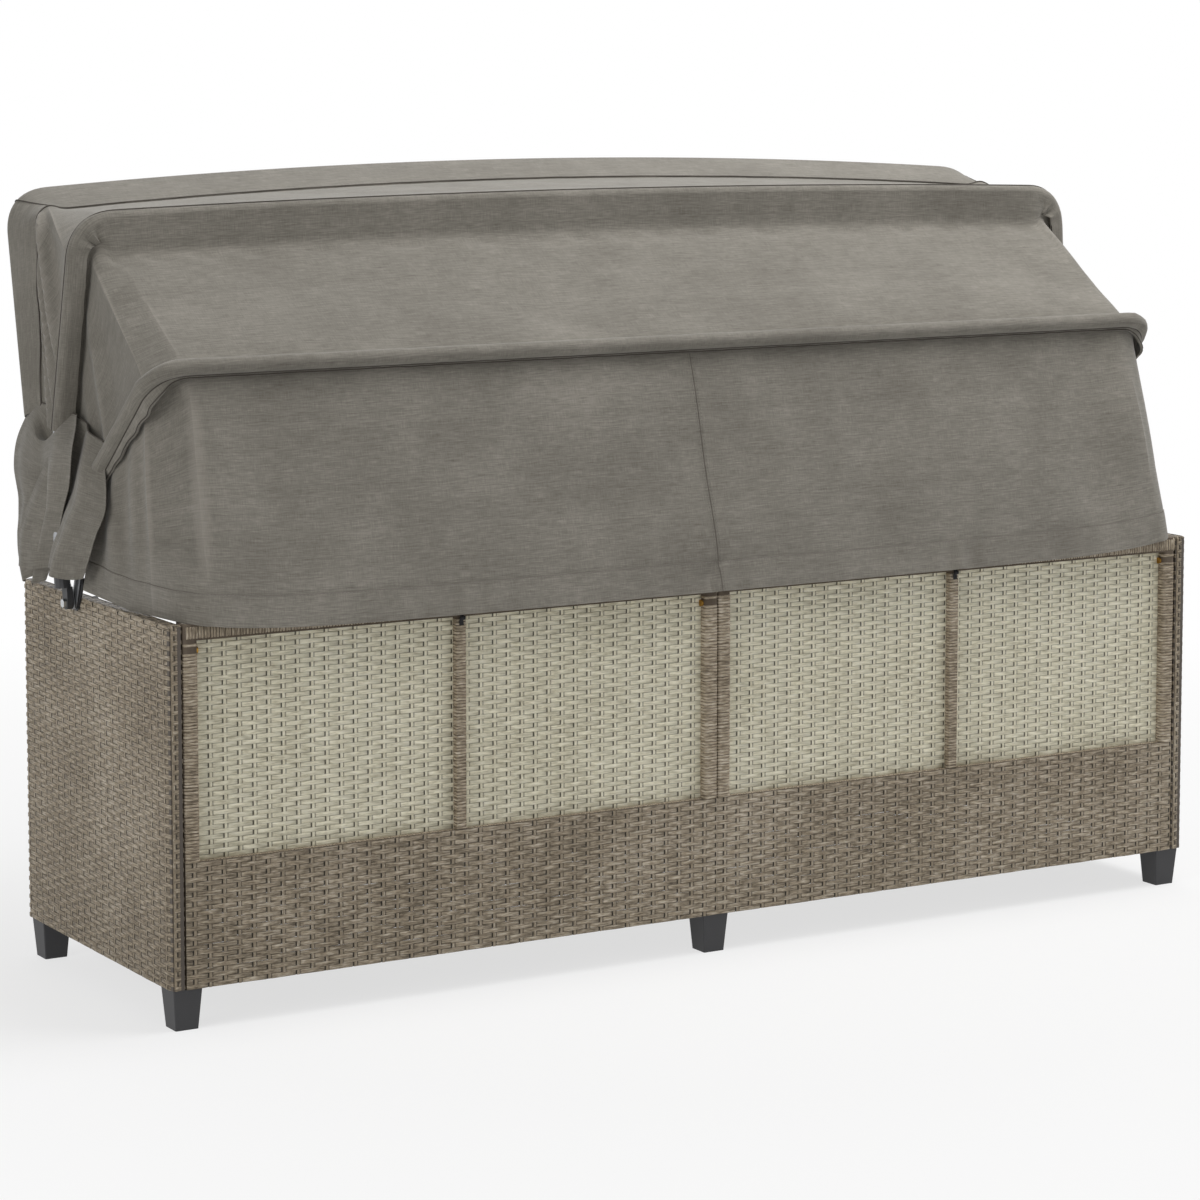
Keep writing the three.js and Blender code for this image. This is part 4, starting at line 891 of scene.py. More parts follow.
def stitches(name, path):
    """A row of short stitches along a path, each a small spindle."""
    ends = measured(path, STITCH_PITCH)
    ahead = unit(np.gradient(ends, axis=0))
    square = unit(np.cross(ahead, NO_AXIS)) * STITCH_WIDTH / 2
    other = np.cross(ahead, square)
    half = ahead * STITCH_LENGTH / 2
    points = np.stack([ends - half, ends + square, ends + other, ends - square, ends - other, ends + half], 1)
    spindle = np.array([
        (0, 2, 1), (0, 3, 2), (0, 4, 3), (0, 1, 4),
        (5, 1, 2), (5, 2, 3), (5, 3, 4), (5, 4, 1),
    ])
    faces = (np.arange(len(ends))[:, None, None] * 6 + spindle).reshape(-1, 3)
    piece = new_piece(name, points, faces.tolist())
    mend(piece, merge=True)
    return piece


# Each bow runs in a casing sewn from a folded strip. The rear one is drawn in under the tube along a dark
# seam and ends in a flat flange.
CASING_RADIUS = 11.6 * MM
FLANGE_HALF = 1.5 * MM
FLANGE_START = 13.5 * MM
FLANGE_ANGLE = 0.42
ARC_STEPS = 15


def loft_casing(name, bow, section, edge_way, side_way):
    """A casing along a bow. The section holds, for each point round it, lengths along the two ways."""
    rows = [
        bow.line + edge_way * toward[:, None] + side_way * beside[:, None]
        for toward, beside in np.asarray(section)
    ]
    piece = sewn(name, np.stack(rows, 1), closed=True, turned=True)
    give_thickness(piece)
    return piece


def edge_ways(bow, rear_share):
    """The ways towards a casing's sewn edge and square to it, when it points this far rearward."""
    rear_share = as_column(rear_share)
    inward = np.sqrt(1 - rear_share**2)
    edge = -bow.outward * inward + bow.rearward * rear_share
    side = -bow.outward * rear_share - bow.rearward * inward
    return edge, side


def arc(low, high, radius):
    """Round part of a section, from one angle to another."""
    angles = [low + (high - low) * i / (ARC_STEPS - 1) for i in range(ARC_STEPS)]
    return [(radius * np.cos(a), radius * np.sin(a)) for a in angles]


count = len(rear_bow.line)
level = np.ones(count)
crumple = np.sin(np.pi * rear_bow.turn) * (rear_bow.turn < 1)
rear_reach = rear_bow.between(22 * MM + (33 - 22) * MM * rear_bow.climb, 18.5 * MM)
rear_reach += ripple(rear_bow.line, 24 * MM, 2.4 * MM, 3) * rear_bow.between(1, 0.35)
rear_radius = CASING_RADIUS + ripple(rear_bow.line, 18 * MM, 1.6 * MM, 5) * (0.35 + crumple)
rear_radius += 1.2 * MM * crumple
rear_wave = ripple(rear_bow.line, 30 * MM, 4.2 * MM, 7) * (rear_bow.between(1, 0.22) + 1.2 * crumple)
flange = [
    (FLANGE_START + (rear_reach - FLANGE_START) * share, rear_wave * share)
    for share in (0, 0.5, 1)
]
section = [(a * level, b + FLANGE_HALF) for a, b in flange[:1]]
section += [(a * level, b * level) for a, b in arc(FLANGE_ANGLE, 2 * math.pi - FLANGE_ANGLE, rear_radius)]
section += [(a * level, b - FLANGE_HALF) for a, b in flange]
section += [(a * level, b + FLANGE_HALF) for a, b in flange[:0:-1]]
pinch_edge, pinch_side = edge_ways(rear_bow, rear_bow.between(0.96, 0.56))
rear_sleeve = loft_casing("rear_casing", rear_bow, section, pinch_edge, pinch_side)
fitted(rear_sleeve, canopy_cloth, "rear_bow", "rear_sleeve")
# The seam and the flange's edge are drawn as dark thread: stitches, with painted shade in the crease and
# under the edge.
for name, far, beside in (
    ("rear_casing_seam", FLANGE_START, -2.4 * MM),
    ("rear_casing_edge", rear_reach - 1.5 * MM, rear_wave - 2.2 * MM),
):
    line = rear_bow.line + pinch_edge * as_column(far) + pinch_side * as_column(beside)
    fitted(tube_along(name, line, SEAM_WIDTH), seam_thread, "rear_bow")


# The middle casing hangs as a loop below the bar, inside the fall of the back cloth. At the corners it
# bunches into pleats, and on the legs it ends in a narrow scalloped flange.
BAR_LOOP = [
    (-11.6, 0), (-10.6, 4.6), (-7.6, 8.8), (-2, 11.2), (6, 11.4), (15, 10.6), (25, 8.6), (34, 6),
    (41, 3.6), (45, 1.4), (45, -1), (40, -3), (33, -5), (24, -7), (15, -9), (5, -11), (-3, -11.2),
    (-8, -8.4), (-10.8, -4.5),
]
LEG_LOOP = [
    (-11.6, 0), (-10.6, 4.6), (-8, 8.4), (-4, 10.9), (0, 11.6), (4, 11.8), (9, 12.2), (14, 12.8), (18, 13),
    (18.2, 11.6), (15, 9.6), (11.8, 6.6), (11.6, 3), (11.8, -1), (10.7, -4.6), (7.6, -8.8), (3, -11.2),
    (-4, -11), (-8.6, -7.8),
]
mid_crumple = np.sin(np.pi * mid_bow.turn) * (mid_bow.turn < 1)
pleats = np.sin(2 * np.pi * 3.5 * mid_bow.turn) * mid_crumple
sag = ripple(mid_bow.line, 90 * MM, 5 * MM, 11) + ripple(mid_bow.line, 22 * MM, 2.4 * MM, 13)
section = []
for (bar_in, bar_rear), (leg_in, leg_rear) in zip(BAR_LOOP, LEG_LOOP):
    loose = mid_bow.between(max(leg_rear - 8, 0) / 12, max(bar_in, 0) / 45)
    drawn = mid_bow.between(leg_in, bar_in) * MM + loose * (sag * 0.8 + pleats * 6 * MM)
    rear = mid_bow.between(leg_rear, bar_rear) * MM + loose * (sag * 0.6 - pleats * 8 * MM)
    section.append((drawn, rear))
mid_sleeve = loft_casing("mid_casing", mid_bow, section, -mid_bow.outward, mid_bow.rearward)
fitted(mid_sleeve, canopy_cloth, "mid_bow", "mid_sleeve")
mid_seam_line = mid_bow.beside(mid_bow.between(9.6 * MM, 12.4 * MM), mid_bow.between(-7.8 * MM, 2.2 * MM))
mid_seam = tube_along("mid_casing_seam", mid_seam_line, SEAM_WIDTH)
fitted(mid_seam, seam_thread, "mid_bow")


# The front bow runs in a deep pocket, drawn back tight from the tube to a seam with the top cloth.
pocket_reach = front_bow.between(40 * MM + (82 - 40) * MM * front_bow.climb, 84 * MM)
pocket_reach += ripple(front_bow.line, 45 * MM, 7 * MM, 15) * front_bow.between(1, 0.2)
pocket_wave = ripple(front_bow.line, 70 * MM, 5 * MM, 17) * front_bow.between(1, 0.3)
tangent = np.arccos(CASING_RADIUS / pocket_reach)
section = arc(tangent, 2 * math.pi - tangent, CASING_RADIUS)
first, last = section[0], section[-1]
for share in (0.25, 0.5, 0.75, 1):
    flat = (1 - share) * last[1] - FLANGE_HALF * share + pocket_wave * math.sin(math.pi * 0.8 * share)
    section.append((last[0] + (pocket_reach - last[0]) * share, flat))
for share in (1, 0.75, 0.5, 0.25):
    flat = (1 - share) * first[1] + FLANGE_HALF * share + pocket_wave * math.sin(math.pi * 0.8 * share)
    section.append((first[0] + (pocket_reach - first[0]) * share, flat))
pocket_edge, pocket_side = edge_ways(front_bow, front_bow.between(0.995, 0.84))
front_pocket = loft_casing("front_casing", front_bow, section, pocket_edge, pocket_side)
fitted(front_pocket, canopy_cloth, "front_bow", "front_pocket")
pocket_line = front_bow.line + pocket_edge * as_column(pocket_reach - 1 * MM)
pocket_seam = tube_along("front_casing_seam", pocket_line - pocket_side * 2.6 * MM, SEAM_WIDTH * 1.2)
fitted(pocket_seam, seam_thread, "front_bow")


# A mitred seam crosses each corner of the pocket, from its edge over the tube.
MITRE_TURN = 0.5
for side_name, side in SIDES:
    at = int(np.argmin(np.abs(front_bow.turn - MITRE_TURN) + (side_of != side)))
    around = [section[k] for k in range(ARC_STEPS // 2, ARC_STEPS + 4)]
    places = [[float(np.broadcast_to(way, level.shape)[at]) for way in pair] for pair in around]
    mitre = np.array([front_bow.line[at] + pocket_edge[at] * a + pocket_side[at] * b for a, b in places])
    mitre += unit(mitre - front_bow.line[at]) * 0.9 * MM - pocket_side[at] * 0.5 * MM
    mitre_seam = tube_along("mitre_seam_" + side_name, mitre, SEAM_WIDTH)
    fitted(mitre_seam, seam_thread, "front_bow")


# Between the bows the cloth is cut to shape and drawn tight, with a crisp crease from corner to corner. The
# bows fan out round the pivot, so each row of the cloth turns by its own share of the joint, written over
# the straight blend.
CLOTH_ROWS = 56
BEND_SMOOTHING = 3
FALL_SHARE = 0.82
RIGHT_CREASE_SHARE = 0.12


def creased(rows, places, strengths):
    """Draws each row straight from its crease to the corner's end. Place 0 is the knee and 2 that end."""
    path = (rear_bow.climb + rear_bow.turn)[:CORNER_END + 1]
    turned = path[LEG_END + 1:, None] - 1
    folded = rows.copy()
    for row, new_row, place, strength in zip(rows, folded, places, strengths):
        stops = np.where(path <= 1, path * place, place + (2 - place) * (path - 1))
        for way, share in ((1, 1), (-1, RIGHT_CREASE_SHARE)):
            curve = np.stack([np.interp(stops, path, row[::way][:CORNER_END + 1, i]) for i in range(3)], 1)
            straight = curve[LEG_END] * (1 - turned) + curve[-1] * turned
            curve[LEG_END + 1:] += (straight - curve[LEG_END + 1:]) * strength * share
            new_row[::way][:CORNER_END + 1] = curve
    return folded


def fan_out(piece, material, bodies, places, shares):
    """Paints a piece between two bows and has each of its points turn by its own share."""
    give([piece], material)
    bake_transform(piece, *bodies, start=tuple(places[0]), end=tuple(places[1]))
    write_shares(piece, "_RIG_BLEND", shares)


def fanned(name, node, lines, bodies, swell, creases):
    """A cloth from one bow to the next. Its lines are pairs: a share from 0 to 1 and the line there."""
    shares = np.linspace(0, 1, CLOTH_ROWS + 1)
    turned = np.clip(shares / (lines[-2][0] or 1), 0, 1)
    stops = [share for share, line in lines]
    rows = np.array([[np.interp(shares, stops, [line[j, i] for share, line in lines]) for i in range(3)]
                     for j in range(count)]).transpose(2, 0, 1)
    for _ in range(BEND_SMOOTHING if len(lines) > 2 else 0):
        rows[1:-1] = (rows[:-2] + 2 * rows[1:-1] + rows[2:]) / 4
    crease_places = creases[0] + (creases[1] - creases[0]) * turned
    rows = creased(rows, crease_places, np.sin(np.pi * turned).clip(0) ** 0.3)
    out = unit(np.cross(np.gradient(rows, axis=0), np.gradient(rows, axis=1)))
    out *= np.sign(out[:, count // 2, 2] + out[:, count // 2, 1])[:, None, None]
    rows += out * swell(rows, turned[:, None])[:, :, None]
    piece = sewn(name, rows)
    write_shares(piece, "row", np.repeat(turned, count))
    write_shares(piece, "rub", wear_and_highlight_of(rows, turned))
    give_thickness(piece, angle=25)
    places = (lines[0][1][count // 2], lines[-1][1][count // 2])
    fan_out(piece, canopy_cloth, bodies, places, read_shares(piece, "row"))
    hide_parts(node)
    return piece


def near(value, centre, width):
    """A smooth hump, 1 at the centre."""
    return np.exp(-(((value - centre) / width) ** 2))


def wear_and_highlight_of(rows, shares):
    """Paler where the cloth is folded over an edge, most of all along the crease, as wear and painted
    highlight.
    """
    bend = np.linalg.norm(np.gradient(unit(np.gradient(rows, axis=1)), axis=1), axis=2)
    crease = near(np.arange(count), LEG_END, 0.9)
    fade = np.sin(np.pi * np.clip(shares, 0.02, 0.98))[:, None] ** 0.3
    return np.clip(bend * 3 - 0.3 + crease, 0, 1) * fade


def tent(value, width):
    """A sharp crest, 1 at zero."""
    return np.clip(1 - np.abs(value) / width, 0, 1) ** 1.3


def back_swell(rows, shares):
    slack = np.sin(np.pi * shares).clip(0)
    on_leg = rear_bow.turn == 0
    long_crease = 13 * MM * tent(rear_bow.climb - 0.12 - 0.62 * shares, 0.2)
    low_crease = 8 * MM * tent(rear_bow.climb + 0.22 - 0.62 * shares, 0.2)
    creases = (long_crease + low_crease - 4 * MM) * slack**0.6 * on_leg
    creases = creases * np.clip(4 - 4 * rear_bow.climb, 0, 1)
    gathers = np.sin(rows[:, :, 0] / (17 * MM) + 3 * np.sin(rows[:, :, 0] / 0.13))
    bunch = 2.2 * MM * near(shares, 0.95, 0.03) * gathers
    slow = ripple(rows, 200 * MM, 7 * MM, 19) + ripple(rows, 60 * MM, 1.6 * MM, 23)
    return creases + slow * slack + bunch * (rear_bow.turn >= 0.6)


back_cloth = fanned(
    "back_cloth_sheet",
    "back_cloth",
    [
        (0, rear_bow.beside(-12.6 * MM, -0.8 * MM)),
        (FALL_SHARE, mid_bow.beside(mid_bow.between(-29, -60) * MM, mid_bow.between(2.4, 17) * MM)),
        (1, mid_bow.beside(mid_bow.between(-14.4, 2) * MM, mid_bow.between(0.6, 11.7) * MM)),
    ],
    ("rear_bow", "mid_bow"),
    back_swell,
    (1.1, 1.02),
)


def top_swell(rows, shares):
    slack = np.sin(np.pi * shares).clip(0)
    along = front_bow.climb - 0.4 * shares
    folds = 24 * MM * near(along, 0.42, 0.07) + 20 * MM * near(along, 0.18, 0.06)
    folds = folds + 14 * MM * near(along, -0.06, 0.06)
    folds = (folds - 6 * MM) * slack**0.6 * (front_bow.turn == 0) * np.clip(6 - 6 * front_bow.climb, 0, 1)
    slow = ripple(rows, 150 * MM, 5 * MM, 29) + ripple(rows, 45 * MM, 1.2 * MM, 31)
    return folds + slow * slack - 3 * MM * slack


top_cloth = fanned(
    "top_cloth_sheet",
    "top_cloth",
    [
        (0, mid_bow.beside(mid_bow.between(9.2, 12.8) * MM, mid_bow.between(-9.2, 0.8) * MM)),
        (1, front_bow.line + pocket_edge * as_column(pocket_reach + 0.2 * MM)),
    ],
    ("mid_bow", "front_bow"),
    top_swell,
    (1.05, 1.35),
)


# The drop cloth hangs from the rear bow to a hem that is laid round the tops of the arms and the back. The
# hem is a doubled band with one row of stitches, and a felled seam joins the cloth's two halves in the
# middle.
HEM_FRONT = np.array([978, -25, 637]) * MM
HEM_REAR_X = 942 * MM
HEM_REAR_Y = (285 + 10.5) * MM
ARM_REAR_Y = 0.285
BASE_TOP = 622 * MM
BASE_SHIFT = 38.904 * MM
HEM_CORNER = 34 * MM
HEM_DROP = 21 * MM
HEM_LIFT = 0.8 * MM
HEM_END_SHARE = 0.2
HEM_END_RUN = 110 * MM
HEM_BAND = 48 * MM
DROP_CREASE_LOW = 0.74
DROP_CREASE_HIGH = 0.9
HEM_STEP = 2.2 * MM
DROP_ROWS = 70
DROP_SWELL = 6 * MM
FLAT_HALF = 890 * MM
TIE_PLACE = 475 * MM


def hem_place(turn, climb, across, side):
    """A place on the hem. It runs along an arm's side, round its rear corner and level over the back."""
    front_y, rear_y = HEM_FRONT[1], HEM_REAR_Y - HEM_CORNER
    slope = (HEM_FRONT[0] - HEM_REAR_X) / (ARM_REAR_Y - front_y)
    if turn == 0:
        y = front_y + (rear_y - front_y) * climb
        z = HEM_FRONT[2] + (BASE_TOP + HEM_LIFT - HEM_FRONT[2]) * min(2 * climb, 1)
        return side * (HEM_FRONT[0] - slope * (y - front_y)), y, z
    angle = math.pi / 2 * turn
    from_end = (HEM_REAR_X - HEM_CORNER) * (1 - abs(across)) if turn == 1 else 0
    drop = HEM_DROP * (1 - (1 - HEM_END_SHARE) * math.exp(-from_end / HEM_END_RUN))
    z = BASE_TOP + HEM_LIFT - (HEM_LIFT + drop) * math.sin(angle) ** 4
    if turn < 1:
        x = HEM_REAR_X - HEM_CORNER * (1 - math.cos(angle))
        return side * x, HEM_REAR_Y - HEM_CORNER * (1 - math.sin(angle)), z
    return across * (HEM_REAR_X - HEM_CORNER), HEM_REAR_Y, z


bar_share = rear_bow.line[:, 0] / (REAR_BOW_HALF - CORNER_REACH)
hem_stops = zip(rear_bow.turn, rear_bow.climb, bar_share, side_of)
hem_line = np.array([hem_place(*stop) for stop in hem_stops])
hem_line[:, 1] += BASE_SHIFT
drop_top = rear_bow.beside(rear_bow.between(-17, -12.8) * MM, 0.8 * MM)
drop_height = np.linalg.norm(drop_top - hem_line, axis=1)
band_share = HEM_BAND / drop_height.mean()
step_share = HEM_STEP / drop_height.mean()
drop_shares = np.concatenate([
    np.linspace(0, band_share, 9),
    band_share + step_share * np.array([0.35, 1]),
    np.linspace(band_share + step_share, 1, DROP_ROWS)[1:],
])


def drop_swell(rows, shares):
    """How far the drop cloth stands out: hang, corner folds, puckers at the ties, crease in the middle."""
    v = shares
    swell = np.sin(np.pi * v)
    x = rows[:, :, 0]
    turn = np.broadcast_to(rear_bow.turn, x.shape)
    climb = np.broadcast_to(rear_bow.climb, x.shape)
    hang = DROP_SWELL * swell
    low = 1 - v
    beside_crease = -5 * MM * np.sin(np.pi * turn) * swell
    before_crease = -8 * MM * near(climb, 0.88, 0.1) * (turn == 0) * (climb < 1) * swell
    flat_part = (turn >= 1) * 1.0
    from_end = FLAT_HALF - np.abs(x)
    ridge_in = 4 * MM * near(from_end, 8 * MM + 20 * MM * low, 24 * MM) * swell**0.5 * flat_part
    ridge_out = -4 * MM * near(from_end, 75 * MM + 60 * MM * low, 34 * MM) * swell**0.7 * flat_part
    side_folds = 7 * MM * np.cos(2 * np.pi * 2.3 * climb + 1.2 * v) * (turn == 0) * swell
    side_folds = side_folds * np.sin(np.pi * climb).clip(0)
    puckers = 0
    for tie in (-TIE_PLACE, TIE_PLACE):
        shift = (x - tie) / (60 * MM)
        puckers = puckers + 3.2 * MM * near(shift, 0, 1) * np.cos(7.5 * shift + 9 * v) * near(v, 0.03, 0.1)
    fold_place = 13 * MM - 34 * MM * np.clip((v - 0.03) / 0.12, 0, 1) ** 2
    from_fold = (x - fold_place) / MM
    crease = -9 * MM / (1 + np.exp(-from_fold / 1.6)) * np.exp(-np.maximum(from_fold, 0) / 34)
    crease = crease * near(v, 0.06, 0.09)
    crease -= 4 * MM * near(x, -28 * MM - 60 * MM * v, 12 * MM) * near(v, 0.07, 0.09)
    felled = 0.9 * MM * near(x, 0, 8 * MM) ** 4
    band = CLOTH * (v <= band_share + 1e-6) - 0.5 * MM * near(v, band_share, step_share * 1.5)
    slow = ripple(rows, 210 * MM, 9 * MM, 37) + ripple(rows * [1, 1, 0.35], 75 * MM, 3 * MM, 41)
    slow = slow * np.clip(swell, 0.08, 1) * (0.4 + 0.6 * flat_part)
    under_bar = 1.6 * MM * near(v, 0.96, 0.05) * np.sin(x / (21 * MM)) * flat_part
    hem_ripple = ripple(rows, 60 * MM, 2.6 * MM, 43) * near(v, 0, 0.1) * (0.3 + 0.7 * flat_part)
    shape = hang + beside_crease + before_crease + ridge_in + ridge_out + side_folds
    return shape + puckers + crease + felled + band + slow + under_bar + hem_ripple


band_levels = HEM_BAND / drop_height
above_band = (drop_shares[:, None] - band_share) / (1 - band_share)
levels = np.where(above_band > 0, band_levels + (1 - band_levels) * above_band,
                  band_levels * drop_shares[:, None] / band_share)[:, :, None]
rows = hem_line * (1 - levels) + drop_top * levels
crease_places = DROP_CREASE_LOW + (DROP_CREASE_HIGH - DROP_CREASE_LOW) * drop_shares
crease_strengths = np.clip((drop_shares - 0.14) / 0.2, 0, 1) * np.clip((1 - drop_shares) / 0.08, 0, 1) ** 0.5
rows = creased(rows, crease_places, crease_strengths)
out_way = unit(np.cross(np.gradient(rows, axis=1), np.gradient(rows, axis=0)))
out_way *= np.sign(out_way[:, count // 2, 1])[:, None, None]
drop_rows = rows + out_way * drop_swell(rows, drop_shares[:, None])[:, :, None]
drop_cloth = sewn("drop_cloth_sheet", drop_rows)
write_shares(drop_cloth, "rub", wear_and_highlight_of(drop_rows, drop_shares))
give_thickness(drop_cloth, angle=22)
BLEND_LOW = 0.65
BLEND_HIGH = 0.81


def on_drop(piece, material):
    """Has a piece follow the drop cloth, which hangs from the rear bow and lies still at the hem."""
    give([piece], material)
    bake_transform(piece, "base", "rear_bow", start=(0, 0, BLEND_LOW), end=(0, 0, BLEND_HIGH))


on_drop(drop_cloth, canopy_cloth)
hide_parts("drop_cloth")
band_row = int(np.argmin(np.abs(drop_shares - band_share)))
hem_stitch_line = drop_rows[band_row] + out_way[band_row] * 1.1 * MM
on_drop(stitches("hem_stitches", hem_stitch_line), soft_thread)
hem_seam_line = drop_rows[band_row + 1] + out_way[band_row + 1] * 0.5 * MM
on_drop(tube_along("hem_seam", hem_seam_line, SEAM_WIDTH * 0.8), soft_thread)
middle = count // 2
for name, shift in (("felled_stitches_left", 4.5 * MM), ("felled_stitches_right", -4.5 * MM)):
    line = drop_rows[:, middle] + out_way[:, middle] * 1.3 * MM + np.array([shift, 0, 0])
    on_drop(stitches(name, line), soft_thread)
felled_line = drop_rows[:, middle] + out_way[:, middle] * 0.9 * MM
on_drop(tube_along("felled_seam", felled_line, SEAM_WIDTH * 0.6), soft_thread)


# Below the casings the side cloth hangs loose over the legs in two tails with deep upright folds. The front
# one's top edge sags open, away from the leg. The rows turn with the bows by their own shares, as in the
# cloths above.
TAIL_CORNER = np.array([975, -21.1, 613]) * MM
TAIL_SPREAD = np.array([36, 200, 290]) * MM
TAIL_ROWS = 60
TAIL_COLUMNS = 46
FRONT_TAIL_FRONT_SHARES = [
    (-0.2, -0.88, 1.05), (0.5, -0.92, 0.87), (0.82, -0.9, 0.69), (0.86, -0.78, 0.52),
    (0.7, -0.9, 0.32), (0.5, -0.97, 0.17), (0.3, -0.96, 0.05),
]
FRONT_TAIL_REAR_SHARES = [
    (-0.2, -0.04, 1.02), (0.75, 0.24, 0.86), (0.95, 0.24, 0.7), (0.95, 0.12, 0.52),
    (0.9, -0.05, 0.36), (0.75, -0.22, 0.22), (0.6, -0.42, 0.09),
]
FRONT_TAIL_FOLDS = [(0.2, 0.13, 10), (0.48, 0.1, -18), (0.76, 0.09, 13), (0.95, 0.06, -6)]
MOUTH_STOPS = (0, 0.05, 0.1, 0.17, 0.45, 1)
MOUTH_OUT = (0, 0, 18, 15, 0, 0)
MOUTH_DOWN = (0, 45, 21, 18, 0, 0)
MID_TAIL_FRONT_SHARES = [
    (-0.3, -0.14, 1.02), (0.6, -0.12, 0.87), (1.05, -0.22, 0.7), (1.25, -0.42, 0.52),
    (1.4, -0.56, 0.33), (1.35, -0.6, 0.17),
]
MID_TAIL_REAR_SHARES = [
    (-0.3, 0.42, 0.9), (0.1, 0.58, 0.72), (0.4, 0.68, 0.56), (0.6, 0.6, 0.428),
    (0.76, 0.5, 0.303), (0.82, 0.4, 0.17),
]
MID_TAIL_FOLDS = [(0.06, 0.07, 4), (0.34, 0.11, -17), (0.68, 0.12, 16), (0.96, 0.07, -8)]


def smooth_line(places, stops):
    """A smooth line through places, read at stops from 0 to 1."""
    places = np.array(places, float)
    ends = np.concatenate([[2 * places[0] - places[1]], places, [2 * places[-1] - places[-2]]])
    at = np.clip(np.asarray(stops) * (len(places) - 1), 0, len(places) - 1 - 1e-9)
    i = at.astype(int)
    t = (at - i)[:, None]
    a, b, c, d = ends[i], ends[i + 1], ends[i + 2], ends[i + 3]
    return 0.5 * (2 * b + (c - a) * t + (2 * a - 5 * b + 4 * c - d) * t**2 + (3 * b - a - 3 * c + d) * t**3)


def hanging_tail(name, node, side, bodies, front_shares, rear_shares, folds, mouth, seed):
    """A tail between two edges, with folds (place, width, depth). A mouth is a loose lip at the top."""
    fall = np.linspace(0, 1, TAIL_ROWS + 1) ** 1.25
    over = np.linspace(0, 1, TAIL_COLUMNS + 1)
    front = smooth_line(front_shares, fall) * TAIL_SPREAD + TAIL_CORNER
    rear = smooth_line(rear_shares, fall) * TAIL_SPREAD + TAIL_CORNER
    rows = front[:, None] * (1 - over[None, :, None]) + rear[:, None] * over[None, :, None]
    down, u = np.meshgrid(fall, over, indexing="ij")
    out = np.zeros_like(u)
    for place, width, depth in folds:
        out += depth * MM * near(u, place + 0.05 * np.sin(3 * down), width * (1.15 - 0.4 * down))
    out *= 0.25 + 0.75 * np.sqrt(down)
    lip = mouth * near(u, 0.48, 0.17) * MM
    rows[:, :, 0] += out + lip * np.interp(down, MOUTH_STOPS, MOUTH_OUT) + ripple(rows, 50 * MM, 3 * MM, seed)
    edge_wave = 5 * MM * near(down, 1, 0.1) * np.sin(9 * u + seed)
    rows[:, :, 2] -= lip * np.interp(down, MOUTH_STOPS, MOUTH_DOWN) + edge_wave
    rows[:, :, 0] *= side
    piece = sewn(name, rows)
    # The flat tops of the outward folds are painted paler: a painted highlight.
    slope = np.abs(np.gradient(out, axis=1)) * TAIL_COLUMNS
    write_shares(piece, "rub", np.clip(out / (22 * MM), 0, 1) ** 2 * 0.8 * (slope < 0.03))
    write_shares(piece, "row", np.repeat((1 - over)[None], TAIL_ROWS + 1, axis=0))
    give_thickness(piece)
    places = (rows[0, -1], rows[0, 0])
    fan_out(piece, canopy_cloth, bodies, places, read_shares(piece, "row"))
    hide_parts(node)
    seam = tube_along(name + "_seam", rows[0] + np.array([side * 1.2 * MM, 0, 0]), SEAM_WIDTH)
    fan_out(seam, seam_thread, bodies, places, np.repeat(1 - over, TUBE_SIDES))
    return piece


for side_name, side in SIDES:
    for kind, bodies, *form in (
        ("front_tail", ("mid_bow", "front_bow"), FRONT_TAIL_FRONT_SHARES, FRONT_TAIL_REAR_SHARES,
         FRONT_TAIL_FOLDS, 1, 51),
        ("mid_tail", ("rear_bow", "mid_bow"), MID_TAIL_FRONT_SHARES, MID_TAIL_REAR_SHARES,
         MID_TAIL_FOLDS, 0, 57),
    ):
        tail = hanging_tail(kind + "_sheet_" + side_name, kind + "_" + side_name, side, bodies, *form)


# The bows are satin silver-grey steel tube with flattened ends. On each arm a black bracket, a bolt with a
# cap nut and a small screw hold them and the bar that carries the hem.
TUBE_GREY = srgb(176, 178, 181)
BAR_GREY = srgb(110, 112, 116)
BLACK_METAL = srgb(32, 32, 34)
ZINC = srgb(202, 204, 206)
BRASS = srgb(176, 136, 66)


def brushed(name, colour, roughness, axis, metallic=1.0):
    """Metal with fine lines drawn along one axis and fingerprints."""
    material, tree, out = new_finish(name)
    stretch = [900] * 3
    stretch[axis] = 12
    lines = grain(tree, object_place(tree, stretch), 1, 3)
    smudge = grain(tree, object_place(tree), 22, 3)
    darker = tuple(0.72 * c for c in colour)
    finish_with(tree, out, {
        "Base Color": ramp(tree, smudge * 0.7 + lines * 0.3, [(0.35, darker), (0.6, colour)]),
        "Metallic": metallic,
        "Roughness": roughness + (smudge - 0.5) * 0.25 + (lines - 0.5) * 0.12,
        "Normal": raised(tree, lines, 0.00003),
    })
    return material


give(["rear_bow_tube", "mid_bow_tube", "front_bow_tube"], brushed("bow_tube", TUBE_GREY, 0.34, 0, 0.85))
give(named("side_bar"), brushed("side_bar_metal", BAR_GREY, 0.4, 1, 0.7))
give(named("pivot_bracket"), scuffed("black_metal", BLACK_METAL, srgb(112, 112, 114), 0.42, 0.4))
give(named("pivot_bolt") + named("pivot_nut") + named("lug_screw"), brushed("zinc", ZINC, 0.28, 2))
give(named("joint_bolt"), brushed("brass", BRASS, 0.36, 2))


